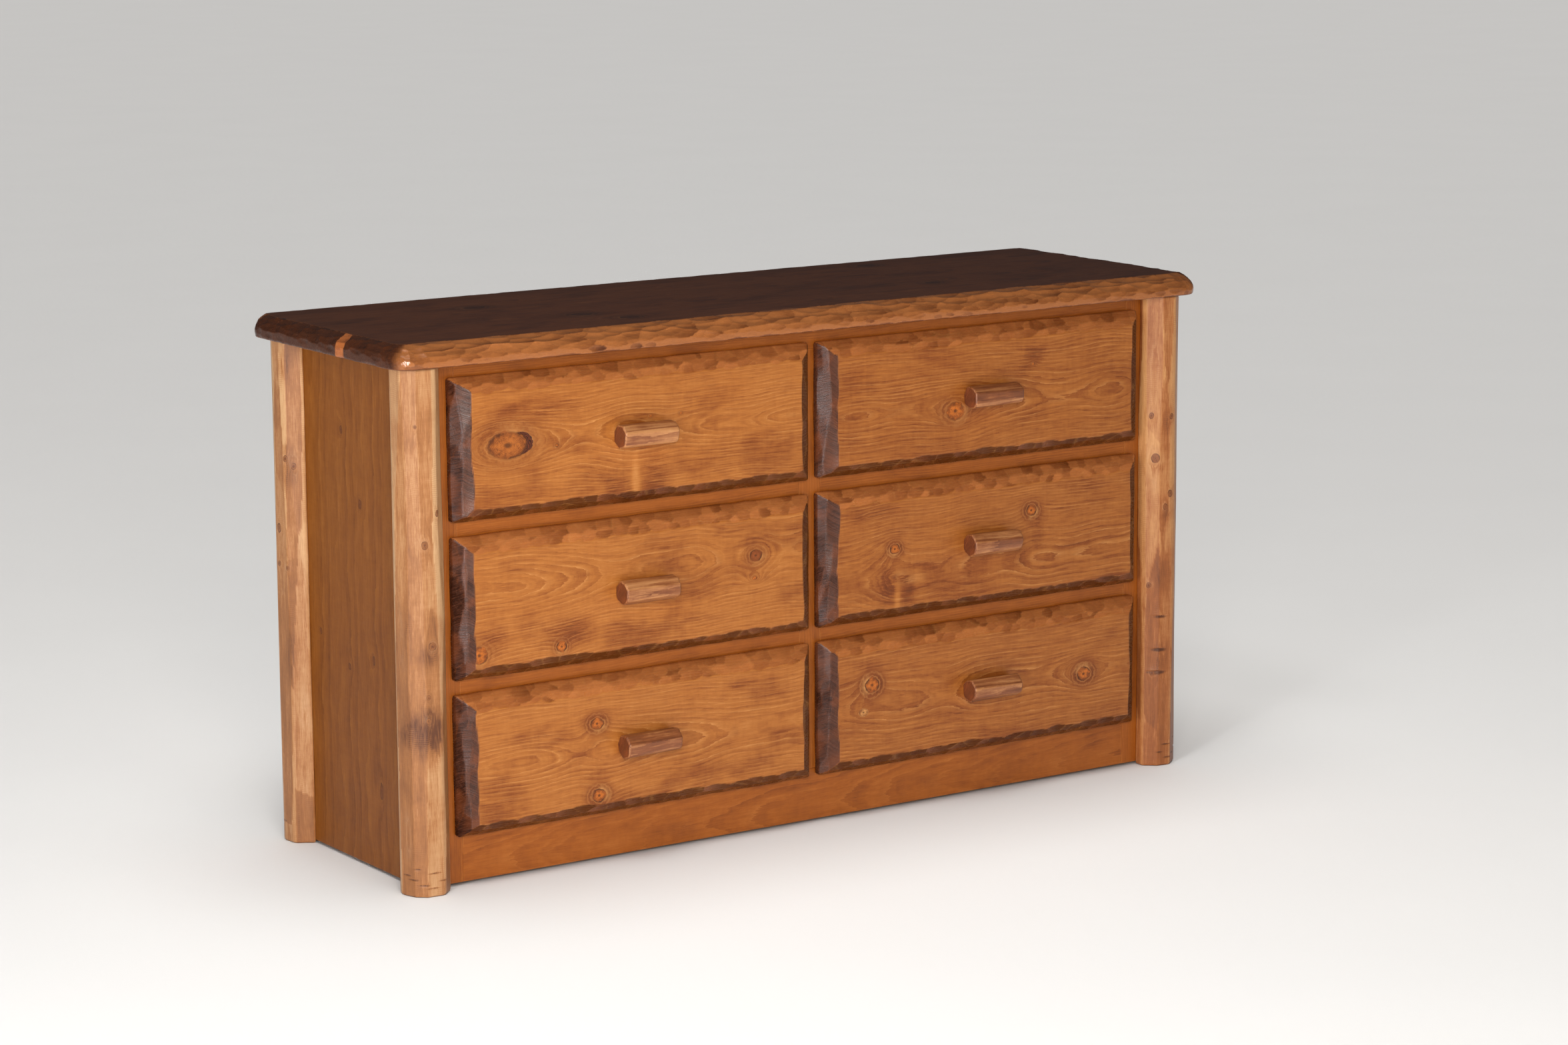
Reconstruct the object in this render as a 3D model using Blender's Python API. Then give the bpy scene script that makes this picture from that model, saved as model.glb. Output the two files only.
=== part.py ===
"""Rustic log dresser with six drawers.

A box case of face frame, side panels, back and centre divider stands on four peeled log posts.
Each post is three quarters round: a square notch along its inner quarter wraps one corner of
the case.  A thick slab with hewn edges lies on top.  Each drawer is a box of thin boards behind
a thick hewn front, and slides along -Y on a wooden centre runner.

Metres, +Z up, the front faces -Y.  The origin is the bottom centre of the whole dresser's box.
"""

import math

import bmesh
import bpy

# Clearance between pieces that touch
GAP = 0.0003

# Top slab
SLAB_WIDTH = 1.524
SLAB_THICKNESS = 0.035
SLAB_FRONT_OVERHANG = 0.052
SLAB_BACK_OVERHANG = 0.0465
SLAB_FRONT_RADIUS = 0.036
SLAB_BACK_RADIUS = 0.027
SLAB_FRONT_CHAMFER = 0.034
SLAB_END_CHAMFER = 0.024
SLAB_BACK_CHAMFER = 0.010
SLAB_EDGE_LAND = 0.013
SLAB_SHOULDER = 0.026
SLAB_ARRIS = 0.003

# Case
HEIGHT = 0.840
CASE_HALF_WIDTH = 0.711
CASE_DEPTH = 0.383
CASE_FLOOR_GAP = 0.005
BOARD = 0.019
BACK_THICKNESS = 0.006
BACK_REBATE = 0.009
DIVIDER_FLOOR_GAP = 0.020

# Log posts
POST_RADIUS = 0.0376
POST_CENTRE_X = 0.7066
POST_ARRIS = 0.003
POST_STEPS = 18

# Face frame: the drawer openings between its stiles and rails
STILE_INNER_X = 0.641
CENTRE_STILE_HALF = 0.020
RAIL_HEIGHT = 0.045

# Drawer fronts
FRONT_WIDTH = 0.648
FRONT_HEIGHT = 0.220
FRONT_THICKNESS = 0.030
FRONT_EDGE = 0.009
FRONT_CORNER_RADIUS = 0.009
FRONT_CENTRE_GAP = 0.015
FRONT_ROW_GAP = 0.022
FRONT_LOWEST = 0.078
BEVEL_END = 0.029
BEVEL_TOP = 0.025
BEVEL_BOTTOM = 0.020

# Drawer boxes
BOX_SIDE_CLEARANCE = 0.006
BOX_RAIL_CLEARANCE = 0.001
BOX_DEPTH = 0.340
BOX_HEIGHT = 0.165
BOX_BACK_HEIGHT = 0.139
BOX_BOARD = 0.0127
BOTTOM_THICKNESS = 0.006
BOTTOM_RISE = 0.010
GROOVE_DEPTH = 0.006

# Centre runners, and the guide ribs under each drawer bottom
RUNNER_WIDTH = 0.040
RUNNER_THICKNESS = 0.019
RUNNER_CLEARANCE = 0.0005
GUIDE_WIDTH = 0.012
GUIDE_HEIGHT = 0.008

# Log pulls
PULL_LENGTH = 0.098
PULL_RADIUS = 0.0185
PULL_FLAT_DEPTH = 0.0165
PULL_ARRIS = 0.002
PULL_STEPS = 14

# The front face of the frame, set so that the dresser's box is centred on Y = 0
PULL_FRONT = FRONT_THICKNESS + PULL_FLAT_DEPTH + PULL_RADIUS + 2 * GAP
FACE_Y = (PULL_FRONT - CASE_DEPTH - SLAB_BACK_OVERHANG) / 2

SLAB_UNDERSIDE = HEIGHT - SLAB_THICKNESS
CASE_TOP = SLAB_UNDERSIDE - GAP
CASE_BACK_Y = FACE_Y + CASE_DEPTH
FRAME_BACK_Y = FACE_Y + BOARD
ROW_PITCH = FRONT_HEIGHT + FRONT_ROW_GAP
ROWS = ("bottom", "middle", "top")
COLUMNS = {"left": -1, "right": 1}
RAIL_OVERLAP = (RAIL_HEIGHT - FRONT_ROW_GAP) / 2


# ---------------------------------------------------------------- shared helpers


def clear_scene():
    for old in list(bpy.data.objects):
        bpy.data.objects.remove(old, do_unlink=True)


def wood(name, color, roughness):
    material = bpy.data.materials.new(name)
    material.use_nodes = True
    shader = material.node_tree.nodes["Principled BSDF"]
    shader.inputs["Base Color"].default_value = (*color, 1.0)
    shader.inputs["Roughness"].default_value = roughness
    shader.inputs["Metallic"].default_value = 0.0
    return material


def empty(name, location):
    """A frame to parent one drawer's pieces to, on its slide axis."""
    frame = bpy.data.objects.new(name, None)
    frame.location = location
    bpy.context.scene.collection.objects.link(frame)
    return frame


def add_object(name, bm, location, material, parent=None, smooth_angle=None):
    """Turn a bmesh into one named object; location is in the world, also for a child."""
    bmesh.ops.recalc_face_normals(bm, faces=bm.faces)
    mesh = bpy.data.meshes.new(name)
    bm.to_mesh(mesh)
    bm.free()
    mesh.materials.append(material)
    if smooth_angle is not None:
        mesh.shade_smooth()
        mesh.set_sharp_from_angle(angle=smooth_angle)
    body = bpy.data.objects.new(name, mesh)
    bpy.context.scene.collection.objects.link(body)
    body.location = location
    if parent is not None:
        body.parent = parent
        body.location = [a - b for a, b in zip(location, parent.location)]
    return body


def board(name, low, high, material, parent=None):
    """A square-edged board between two corners."""
    size = [b - a for a, b in zip(low, high)]
    centre = [(a + b) / 2 for a, b in zip(low, high)]
    bm = bmesh.new()
    bmesh.ops.create_cube(bm, size=1.0)
    bmesh.ops.scale(bm, vec=size, verts=bm.verts)
    return add_object(name, bm, centre, material, parent)


def ring(outline, axis, position):
    """Lay a flat outline across the X, Y or Z axis at a position along it."""
    if axis == "x":
        return [(position, a, b) for a, b in outline]
    if axis == "y":
        return [(a, position, b) for a, b in outline]
    return [(a, b, position) for a, b in outline]


def loft(name, rings, location, material, parent=None, smooth_angle=None):
    """A closed body through rings of equal length, capped at both ends."""
    bm = bmesh.new()
    loops = [[bm.verts.new(point) for point in points] for points in rings]
    count = len(loops[0])
    for first, second in zip(loops, loops[1:]):
        for i in range(count):
            j = (i + 1) % count
            bm.faces.new((first[i], first[j], second[j], second[i]))
    bm.faces.new(loops[0])
    bm.faces.new(loops[-1])
    return add_object(name, bm, location, material, parent, smooth_angle)


def rounded_rectangle(x0, x1, y0, y1, radius, steps, high_radius=None):
    """Outline of a rectangle with round corners, counter-clockwise.

    high_radius rounds the two corners at y1 where they differ from those at y0.
    """
    low = radius
    high = radius if high_radius is None else high_radius
    corners = (
        (x1 - high, y1 - high, high, 0.0),
        (x0 + high, y1 - high, high, math.pi / 2),
        (x0 + low, y0 + low, low, math.pi),
        (x1 - low, y0 + low, low, 3 * math.pi / 2),
    )
    points = []
    for cx, cy, radius, start in corners:
        for step in range(steps + 1):
            angle = start + math.pi / 2 * step / steps
            points.append((cx + radius * math.cos(angle), cy + radius * math.sin(angle)))
    return points


# ---------------------------------------------------------------- case


def notched_circle(radius, inward, backward):
    """Three quarters of a circle; the open quarter holds one corner of the case.

    inward is the X sign towards the middle of the dresser, backward the Y sign towards the
    inside of the case.
    """
    wall = CASE_HALF_WIDTH + GAP - POST_CENTRE_X
    start = math.acos(-wall / radius)
    end = 2 * math.pi - math.asin(GAP / radius)
    points = []
    for step in range(POST_STEPS + 1):
        angle = start + (end - start) * step / POST_STEPS
        points.append((radius * math.cos(angle), radius * math.sin(angle)))
    points.append((-wall, -GAP))
    return [(u * inward, v * backward) for u, v in points]


def build_post(name, side, centre_y, backward, material):
    inward = -side
    foot = notched_circle(POST_RADIUS - POST_ARRIS, inward, backward)
    shaft = notched_circle(POST_RADIUS, inward, backward)
    rings = [
        ring(foot, "z", 0.0),
        ring(shaft, "z", POST_ARRIS),
        ring(shaft, "z", CASE_TOP),
    ]
    location = (side * POST_CENTRE_X, centre_y, 0.0)
    loft(name, rings, location, material, smooth_angle=math.radians(30))


def build_slab(material):
    """The top: a small arris below, an upright land, then a convex hewn chamfer."""
    half = SLAB_WIDTH / 2
    front = FACE_Y - SLAB_FRONT_OVERHANG
    back = CASE_BACK_Y + SLAB_BACK_OVERHANG

    def outline(end, fore, rear, rounding):
        return rounded_rectangle(
            end - half,
            half - end,
            front + fore,
            back - rear,
            SLAB_FRONT_RADIUS * rounding,
            steps=4,
            high_radius=SLAB_BACK_RADIUS * rounding,
        )

    under = outline(SLAB_ARRIS, SLAB_ARRIS, SLAB_ARRIS, 1.0)
    land = outline(0.0, 0.0, 0.0, 1.0)
    shoulder = outline(
        SLAB_END_CHAMFER * 0.28,
        SLAB_FRONT_CHAMFER * 0.40,
        SLAB_BACK_CHAMFER * 0.30,
        0.9,
    )
    upper = outline(SLAB_END_CHAMFER, SLAB_FRONT_CHAMFER, SLAB_BACK_CHAMFER, 0.6)
    rings = [
        ring(under, "z", 0.0),
        ring(land, "z", SLAB_ARRIS),
        ring(land, "z", SLAB_EDGE_LAND),
        ring(shoulder, "z", SLAB_SHOULDER),
        ring(upper, "z", SLAB_THICKNESS),
    ]
    loft("top_slab", rings, (0.0, 0.0, SLAB_UNDERSIDE), material)


def build_side_panel(name, side, material):
    """An upright panel with a rebate along its inner back edge for the back panel."""
    outer = CASE_HALF_WIDTH
    inner = outer - BOARD
    front = FRAME_BACK_Y + GAP
    step = CASE_BACK_Y - BACK_THICKNESS - GAP
    outline = [
        (outer, front),
        (outer, CASE_BACK_Y),
        (inner + BACK_REBATE, CASE_BACK_Y),
        (inner + BACK_REBATE, step),
        (inner, step),
        (inner, front),
    ]
    outline = [(side * (x - outer), y - front) for x, y in outline]
    height = CASE_TOP - CASE_FLOOR_GAP
    rings = [ring(outline, "z", 0.0), ring(outline, "z", height)]
    loft(name, rings, (side * outer, front, CASE_FLOOR_GAP), material)


def build_case(materials):
    case = materials["case"]
    for side_name, side in COLUMNS.items():
        build_post("post_front_" + side_name, side, FACE_Y, 1, materials["post"])
        build_post("post_back_" + side_name, side, CASE_BACK_Y, -1, materials["post"])
        build_side_panel("side_panel_" + side_name, side, case)
    half = CASE_HALF_WIDTH - BOARD + BACK_REBATE - GAP
    board(
        "back_panel",
        (-half, CASE_BACK_Y - BACK_THICKNESS, CASE_FLOOR_GAP),
        (half, CASE_BACK_Y, CASE_TOP),
        materials["back"],
    )
    board(
        "centre_divider",
        (-BOARD / 2, FRAME_BACK_Y + GAP, DIVIDER_FLOOR_GAP),
        (BOARD / 2, CASE_BACK_Y - BACK_THICKNESS - GAP, CASE_TOP),
        case,
    )
    build_slab(materials["slab"])


# ---------------------------------------------------------------- face frame and runners


def opening_floor(row):
    """Height of the rail top that drawer row 0, 1 or 2 runs over."""
    return FRONT_LOWEST + row * ROW_PITCH + RAIL_OVERLAP


def build_face_frame(material):
    """Stiles run the full height; the rails and the centre stile butt between them."""
    low_y = FACE_Y
    high_y = FRAME_BACK_Y
    for side_name, side in COLUMNS.items():
        inner = side * STILE_INNER_X
        outer = side * CASE_HALF_WIDTH
        board(
            "stile_" + side_name,
            (min(inner, outer), low_y, CASE_FLOOR_GAP),
            (max(inner, outer), high_y, CASE_TOP),
            material,
        )
    reach = STILE_INNER_X - GAP
    rail_floor = opening_floor(0)
    rail_ceiling = opening_floor(2) + ROW_PITCH - RAIL_HEIGHT
    board("rail_bottom", (-reach, low_y, CASE_FLOOR_GAP), (reach, high_y, rail_floor), material)
    board("rail_top", (-reach, low_y, rail_ceiling), (reach, high_y, CASE_TOP), material)
    board(
        "stile_centre",
        (-CENTRE_STILE_HALF, low_y, rail_floor + GAP),
        (CENTRE_STILE_HALF, high_y, rail_ceiling - GAP),
        material,
    )
    for column, side in COLUMNS.items():
        for name, row in (("lower", 1), ("upper", 2)):
            ends = (side * (CENTRE_STILE_HALF + GAP), side * reach)
            top = opening_floor(row)
            board(
                "rail_" + name + "_" + column,
                (min(ends), low_y, top - RAIL_HEIGHT),
                (max(ends), high_y, top),
                material,
            )


def opening_centre(side):
    return side * (CENTRE_STILE_HALF + STILE_INNER_X) / 2


def box_floor(row):
    """Height of the lower edge of a drawer box's sides."""
    return opening_floor(row) + BOX_RAIL_CLEARANCE


def build_runner(row, column, material):
    """The centre runner, from the back of the rail to the back panel."""
    centre = opening_centre(COLUMNS[column])
    top = box_floor(row) + BOTTOM_RISE - RUNNER_CLEARANCE
    board(
        "runner_" + ROWS[row] + "_" + column,
        (centre - RUNNER_WIDTH / 2, FRAME_BACK_Y + GAP, top - RUNNER_THICKNESS),
        (centre + RUNNER_WIDTH / 2, CASE_BACK_Y - BACK_THICKNESS - GAP, top),
        material,
    )


# ---------------------------------------------------------------- drawers


def build_front(name, centre_x, low_z, parent, material):
    """A thick board: a square back edge, then a hewn bevel in two steps up to the face."""
    half = FRONT_WIDTH / 2

    def outline(share, radius):
        return rounded_rectangle(
            BEVEL_END * share - half,
            half - BEVEL_END * share,
            BEVEL_BOTTOM * share,
            FRONT_HEIGHT - BEVEL_TOP * share,
            radius,
            steps=3,
        )

    corner = FRONT_CORNER_RADIUS
    knee = FRONT_EDGE + 0.62 * (FRONT_THICKNESS - FRONT_EDGE)
    rings = [
        ring(outline(0.0, corner), "y", 0.0),
        ring(outline(0.0, corner), "y", -FRONT_EDGE),
        ring(outline(0.42, corner), "y", -knee),
        ring(outline(1.0, corner / 3), "y", -FRONT_THICKNESS),
    ]
    loft(name, rings, (centre_x, FACE_Y - GAP, low_z), material, parent)


def build_pull(name, centre_x, centre_z, parent, material):
    """A short peeled log with a flat along its back, eased at both ends."""

    def outline(radius):
        start = math.acos(PULL_FLAT_DEPTH / radius)
        points = []
        for step in range(PULL_STEPS + 1):
            angle = start + (2 * math.pi - 2 * start) * step / PULL_STEPS
            points.append((radius * math.cos(angle), radius * math.sin(angle)))
        return points

    half = PULL_LENGTH / 2
    small = outline(PULL_RADIUS - PULL_ARRIS / 2)
    full = outline(PULL_RADIUS)
    rings = [
        ring(small, "x", -half),
        ring(full, "x", PULL_ARRIS - half),
        ring(full, "x", half - PULL_ARRIS),
        ring(small, "x", half),
    ]
    centre_y = FACE_Y - 2 * GAP - FRONT_THICKNESS - PULL_FLAT_DEPTH
    location = (centre_x, centre_y, centre_z)
    loft(name, rings, location, material, parent, smooth_angle=math.radians(40))


def build_box_side(name, outer_x, inward, floor, parent, material):
    """A drawer side with a groove for the bottom along its inner face."""
    groove_low = BOTTOM_RISE - GAP
    groove_high = BOTTOM_RISE + BOTTOM_THICKNESS + GAP
    outline = [
        (0.0, 0.0),
        (BOX_BOARD, 0.0),
        (BOX_BOARD, groove_low),
        (BOX_BOARD - GROOVE_DEPTH, groove_low),
        (BOX_BOARD - GROOVE_DEPTH, groove_high),
        (BOX_BOARD, groove_high),
        (BOX_BOARD, BOX_HEIGHT),
        (0.0, BOX_HEIGHT),
    ]
    outline = [(inward * x, z) for x, z in outline]
    rings = [ring(outline, "y", 0.0), ring(outline, "y", BOX_DEPTH)]
    loft(name, rings, (outer_x, FACE_Y, floor), material, parent)


def build_box_bottom(name, centre_x, half_width, floor, parent, material):
    """A thin bottom with two guide ribs beneath it, one on each side of the runner."""
    guide_inner = RUNNER_WIDTH / 2 + RUNNER_CLEARANCE
    guide_outer = guide_inner + GUIDE_WIDTH
    right_half = [
        (guide_inner, 0.0),
        (guide_inner, -GUIDE_HEIGHT),
        (guide_outer, -GUIDE_HEIGHT),
        (guide_outer, 0.0),
        (half_width, 0.0),
        (half_width, BOTTOM_THICKNESS),
    ]
    left_half = [(-x, z) for x, z in reversed(right_half)]
    outline = right_half + left_half
    rings = [ring(outline, "y", 0.0), ring(outline, "y", BOX_DEPTH)]
    loft(name, rings, (centre_x, FACE_Y, floor + BOTTOM_RISE), material, parent)


def build_drawer(row, column, materials):
    side = COLUMNS[column]
    prefix = "drawer_" + ROWS[row] + "_" + column
    front_centre = side * (FRONT_WIDTH + FRONT_CENTRE_GAP) / 2
    front_floor = FRONT_LOWEST + row * ROW_PITCH
    centre = opening_centre(side)
    floor = box_floor(row)
    half = (STILE_INNER_X - CENTRE_STILE_HALF) / 2 - BOX_SIDE_CLEARANCE
    inner = half - BOX_BOARD
    slide = empty(prefix, (centre, FACE_Y, floor))

    build_front(prefix + "_front", front_centre, front_floor, slide, materials["front"])
    pull_z = front_floor + FRONT_HEIGHT / 2
    build_pull(prefix + "_pull", front_centre, pull_z, slide, materials["pull"])
    box = materials["box"]
    build_box_side(prefix + "_side_left", centre - half, 1, floor, slide, box)
    build_box_side(prefix + "_side_right", centre + half, -1, floor, slide, box)
    back_floor = floor + BOTTOM_RISE + BOTTOM_THICKNESS + GAP
    back_y = FACE_Y + BOX_DEPTH
    board(
        prefix + "_back",
        (centre - inner + GAP, back_y - BOX_BOARD, back_floor),
        (centre + inner - GAP, back_y, back_floor + BOX_BACK_HEIGHT),
        box,
        slide,
    )
    bottom_half = inner + GROOVE_DEPTH - GAP
    build_box_bottom(prefix + "_bottom", centre, bottom_half, floor, slide, materials["bottom"])


# ---------------------------------------------------------------- the whole dresser


def main():
    clear_scene()
    materials = {
        "slab": wood("stained_slab", (0.20, 0.075, 0.030), 0.42),
        "case": wood("stained_case_pine", (0.40, 0.155, 0.045), 0.45),
        "post": wood("peeled_log", (0.50, 0.23, 0.085), 0.45),
        "front": wood("hewn_drawer_pine", (0.45, 0.18, 0.050), 0.42),
        "pull": wood("pull_log", (0.40, 0.17, 0.060), 0.40),
        "box": wood("drawer_box_pine", (0.66, 0.47, 0.27), 0.60),
        "bottom": wood("drawer_bottom_ply", (0.62, 0.45, 0.27), 0.62),
        "back": wood("back_ply", (0.48, 0.30, 0.16), 0.65),
        "runner": wood("runner_hardwood", (0.58, 0.40, 0.23), 0.50),
    }
    build_case(materials)
    build_face_frame(materials["case"])
    for row in range(len(ROWS)):
        for column in COLUMNS:
            build_runner(row, column, materials["runner"])
            build_drawer(row, column, materials)


main()
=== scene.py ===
"""Looks of the six-drawer log dresser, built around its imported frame.

The hewn drawer fronts, the hewn top slab, the peeled log posts and the pulls are meshes cut
stroke by stroke. The sawn boards keep the frame's shape with eased edges, and the heads of
the pull screws are turned. All the wood is one kind of procedural pine, worked out in
millimetres along, across and into each board.
"""

import math

import bmesh
import bpy
import numpy as np
from mathutils import Matrix, Vector


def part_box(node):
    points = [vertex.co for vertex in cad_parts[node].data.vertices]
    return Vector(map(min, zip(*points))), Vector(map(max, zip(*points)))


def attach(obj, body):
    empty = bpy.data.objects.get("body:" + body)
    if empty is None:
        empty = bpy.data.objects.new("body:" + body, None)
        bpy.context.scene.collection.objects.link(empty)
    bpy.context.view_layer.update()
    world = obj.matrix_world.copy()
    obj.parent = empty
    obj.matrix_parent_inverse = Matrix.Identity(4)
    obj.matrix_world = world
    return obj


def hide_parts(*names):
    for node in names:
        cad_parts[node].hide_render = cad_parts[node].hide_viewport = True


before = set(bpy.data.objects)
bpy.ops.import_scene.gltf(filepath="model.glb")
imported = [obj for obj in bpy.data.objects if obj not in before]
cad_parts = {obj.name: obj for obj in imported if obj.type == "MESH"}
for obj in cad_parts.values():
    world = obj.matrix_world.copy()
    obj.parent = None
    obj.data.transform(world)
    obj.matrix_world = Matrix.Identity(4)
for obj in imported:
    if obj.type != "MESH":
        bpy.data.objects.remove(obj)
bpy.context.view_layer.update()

MM = 0.001
ROWS = ("bottom", "middle", "top")
SIDES = {"left": -1, "right": 1}
DRAWERS = [row + "_" + column for row in ROWS for column in SIDES]
FACE_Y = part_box("stile_left")[0].y
SLAB_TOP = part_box("top_slab")[1].z


# ------------------------------------------------------------------ colours


def srgb(red, green, blue):
    """A colour given as 0 to 255 display values, as the linear colour a shader takes."""
    linear = []
    for value in (red, green, blue):
        share = value / 255
        linear.append(share / 12.92 if share <= 0.04045 else ((share + 0.055) / 1.055) ** 2.4)
    return (*linear, 1.0)


def palette(body, deep, pale, dark, **more):
    """The colours of one kind of wood, given as display values.

    body is plain wood, deep the wood of rings and stain, and pale and dark are the extremes.
    Hewn faces and end grain have usual colours too, which more may replace.
    """
    tones = dict(body=body, deep=deep, pale=pale, dark=dark, hewn=dark, hewn_light=deep)
    tones.update(end=(88, 50, 35), end_dark=(46, 21, 11))
    tones.update(more)
    return {name: srgb(*value) for name, value in tones.items()}


HONEY = palette(
    (182, 110, 46), (130, 63, 18), (222, 158, 90), (72, 33, 11),
    hewn_light=(194, 118, 64), hewn=(130, 68, 35),
)
FRAME = palette((165, 89, 24), (130, 65, 15), (198, 122, 54), (92, 46, 20))
# The side panels' wood is painted darker than the frame's: painted shade for the sides of the
# case. The back panel shares these colours.
PANEL = palette((145, 84, 28), (114, 60, 17), (182, 118, 54), (80, 40, 18))
# The slab's wood is painted darker than the same pine elsewhere: painted shade for a top that
# catches little light. Its hewn edge keeps lighter tones.
SLAB = palette(
    (114, 60, 28), (80, 38, 16), (150, 92, 52), (44, 20, 10),
    hewn_light=(182, 112, 60), hewn=(100, 50, 22), end=(80, 44, 28), end_dark=(42, 19, 10),
)
LOG = palette((215, 169, 121), (176, 116, 68), (226, 188, 148), (98, 58, 38))
# A darker, more orange log for the front right post: partly its own colour, partly painted shade
# for the light falling off to the right.
AMBER_LOG = palette((211, 153, 96), (168, 98, 50), (222, 176, 128), (92, 52, 32))
PULL = palette(
    (196, 134, 82), (146, 84, 46), (220, 168, 116), (92, 48, 28),
    end=(132, 70, 38), end_dark=(84, 38, 20),
)
RAW = palette((214, 184, 140), (190, 150, 102), (226, 202, 162), (146, 100, 60))


# ------------------------------------------------------------------ shader arithmetic


class Field:
    """One value in a shader's node tree. Plain arithmetic on it adds math nodes."""

    def __init__(self, tree, socket):
        self.tree = tree
        self.socket = socket


def plug(tree, slot, value):
    """Give an input a Field, through a link, or a plain value."""
    if isinstance(value, Field):
        tree.links.new(value.socket, slot)
    else:
        slot.default_value = value


def calc(tree, kind, *values, clamp=False):
    """The result of one math node."""
    node = tree.nodes.new("ShaderNodeMath")
    node.operation = kind
    node.use_clamp = clamp
    for slot, value in zip(node.inputs, values):
        plug(tree, slot, value)
    return Field(tree, node.outputs[0])


def operator(kind, flipped=False):
    """What a Python operator on Fields does."""

    def run(self, other):
        pair = (other, self) if flipped else (self, other)
        return calc(self.tree, kind, *pair)

    return run


Field.__add__ = operator("ADD")
Field.__radd__ = operator("ADD", flipped=True)
Field.__sub__ = operator("SUBTRACT")
Field.__rsub__ = operator("SUBTRACT", flipped=True)
Field.__mul__ = operator("MULTIPLY")
Field.__rmul__ = operator("MULTIPLY", flipped=True)
Field.__truediv__ = operator("DIVIDE")
Field.__pow__ = operator("POWER")


def of(kind, value):
    """A math function of one Field, such as its sine."""
    return calc(value.tree, kind, value)


def larger(a, b):
    """The larger of two Fields."""
    return calc(a.tree, "MAXIMUM", a, b)


def clamped(value):
    """A Field cut off below 0 and above 1."""
    return calc(value.tree, "ADD", value, 0.0, clamp=True)


def hypot(a, b):
    """The length of two Fields at right angles."""
    return of("SQRT", a * a + b * b)


def smooth(value, low, high):
    """0 at low, 1 at high, with a soft step between; low may be the larger."""
    node = value.tree.nodes.new("ShaderNodeMapRange")
    node.interpolation_type = "SMOOTHSTEP"
    plug(value.tree, node.inputs["Value"], value)
    node.inputs["From Min"].default_value = low
    node.inputs["From Max"].default_value = high
    return Field(value.tree, node.outputs["Result"])


def vector(tree, x, y, z):
    """Three values as one vector, such as a place for noise to be read at."""
    node = tree.nodes.new("ShaderNodeCombineXYZ")
    for slot, value in zip(node.inputs, (x, y, z)):
        plug(tree, slot, value)
    return Field(tree, node.outputs[0])


def noise(at, size, detail=2.0, rough=0.5):
    """Noise of 0 to 1 with features of about size, in the units of at."""
    node = at.tree.nodes.new("ShaderNodeTexNoise")
    at.tree.links.new(at.socket, node.inputs["Vector"])
    node.inputs["Scale"].default_value = 1.0 / size
    node.inputs["Detail"].default_value = detail
    node.inputs["Roughness"].default_value = rough
    return Field(at.tree, node.outputs[0])


def chance(value, seed=0.0):
    """A random number of 0 to 1 for each whole value."""
    tree = value.tree
    node = tree.nodes.new("ShaderNodeTexWhiteNoise")
    node.noise_dimensions = "1D"
    plug(tree, node.inputs["W"], of("FLOOR", value) + seed)
    return Field(tree, node.outputs["Value"])


def mixed(first, second, share):
    """Colour between two colours; share is a Field of 0 to 1."""
    tree = share.tree
    node = tree.nodes.new("ShaderNodeMix")
    node.data_type = "RGBA"
    node.clamp_factor = True
    plug(tree, node.inputs[0], share)
    plug(tree, node.inputs[6], first)
    plug(tree, node.inputs[7], second)
    return Field(tree, node.outputs[2])


def attribute(tree, name, of_object=False):
    """A number kept at the mesh's points, or one kept for the whole object."""
    node = tree.nodes.new("ShaderNodeAttribute")
    node.attribute_type = "OBJECT" if of_object else "GEOMETRY"
    node.attribute_name = name
    return Field(tree, node.outputs["Fac"])


def place(tree):
    """X, Y and Z in the dresser's frame, in millimetres."""
    where = tree.nodes.new("ShaderNodeTexCoord")
    split = tree.nodes.new("ShaderNodeSeparateXYZ")
    tree.links.new(where.outputs["Object"], split.inputs[0])
    return [Field(tree, out) / MM for out in split.outputs]


# ------------------------------------------------------------------ the pine


def grouped(name, sockets_in, sockets_out, build):
    """A node group made once: build gets its inputs as Fields and returns its outputs."""
    tree = bpy.data.node_groups.get(name)
    if tree is None:
        tree = bpy.data.node_groups.new(name, "ShaderNodeTree")
        for label, kind in sockets_in:
            tree.interface.new_socket(label, in_out="INPUT", socket_type="NodeSocket" + kind)
        for label, kind in sockets_out:
            tree.interface.new_socket(label, in_out="OUTPUT", socket_type="NodeSocket" + kind)
        start = tree.nodes.new("NodeGroupInput")
        end = tree.nodes.new("NodeGroupOutput")
        given = [Field(tree, start.outputs[label]) for label, _ in sockets_in]
        for (label, _), made in zip(sockets_out, build(*given)):
            plug(tree, end.inputs[label], made)
    return tree


def call(tree, group, *values):
    """The outputs of a node group for these values."""
    node = tree.nodes.new("ShaderNodeGroup")
    node.node_tree = group
    for slot, value in zip(node.inputs, values):
        plug(tree, slot, value)
    return [Field(tree, out) for out in node.outputs]


def floats(names):
    """Sockets of a node group that are plain numbers."""
    return [(name, "Float") for name in names.split()]


def knot_bend_group():
    """How far into a knot a place is (1 at its rim), and how many rings it is bent by."""

    def build(du, dv, ru, rv, fuzz, pull, reach):
        k = hypot(du / ru, dv / rv) + fuzz * 0.22
        near = of("EXPONENT", k * reach * -1.0)
        return k, near * pull

    given = floats("du dv ru rv fuzz pull reach")
    return grouped("knot_bend", given, floats("k bend"), build)


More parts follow.
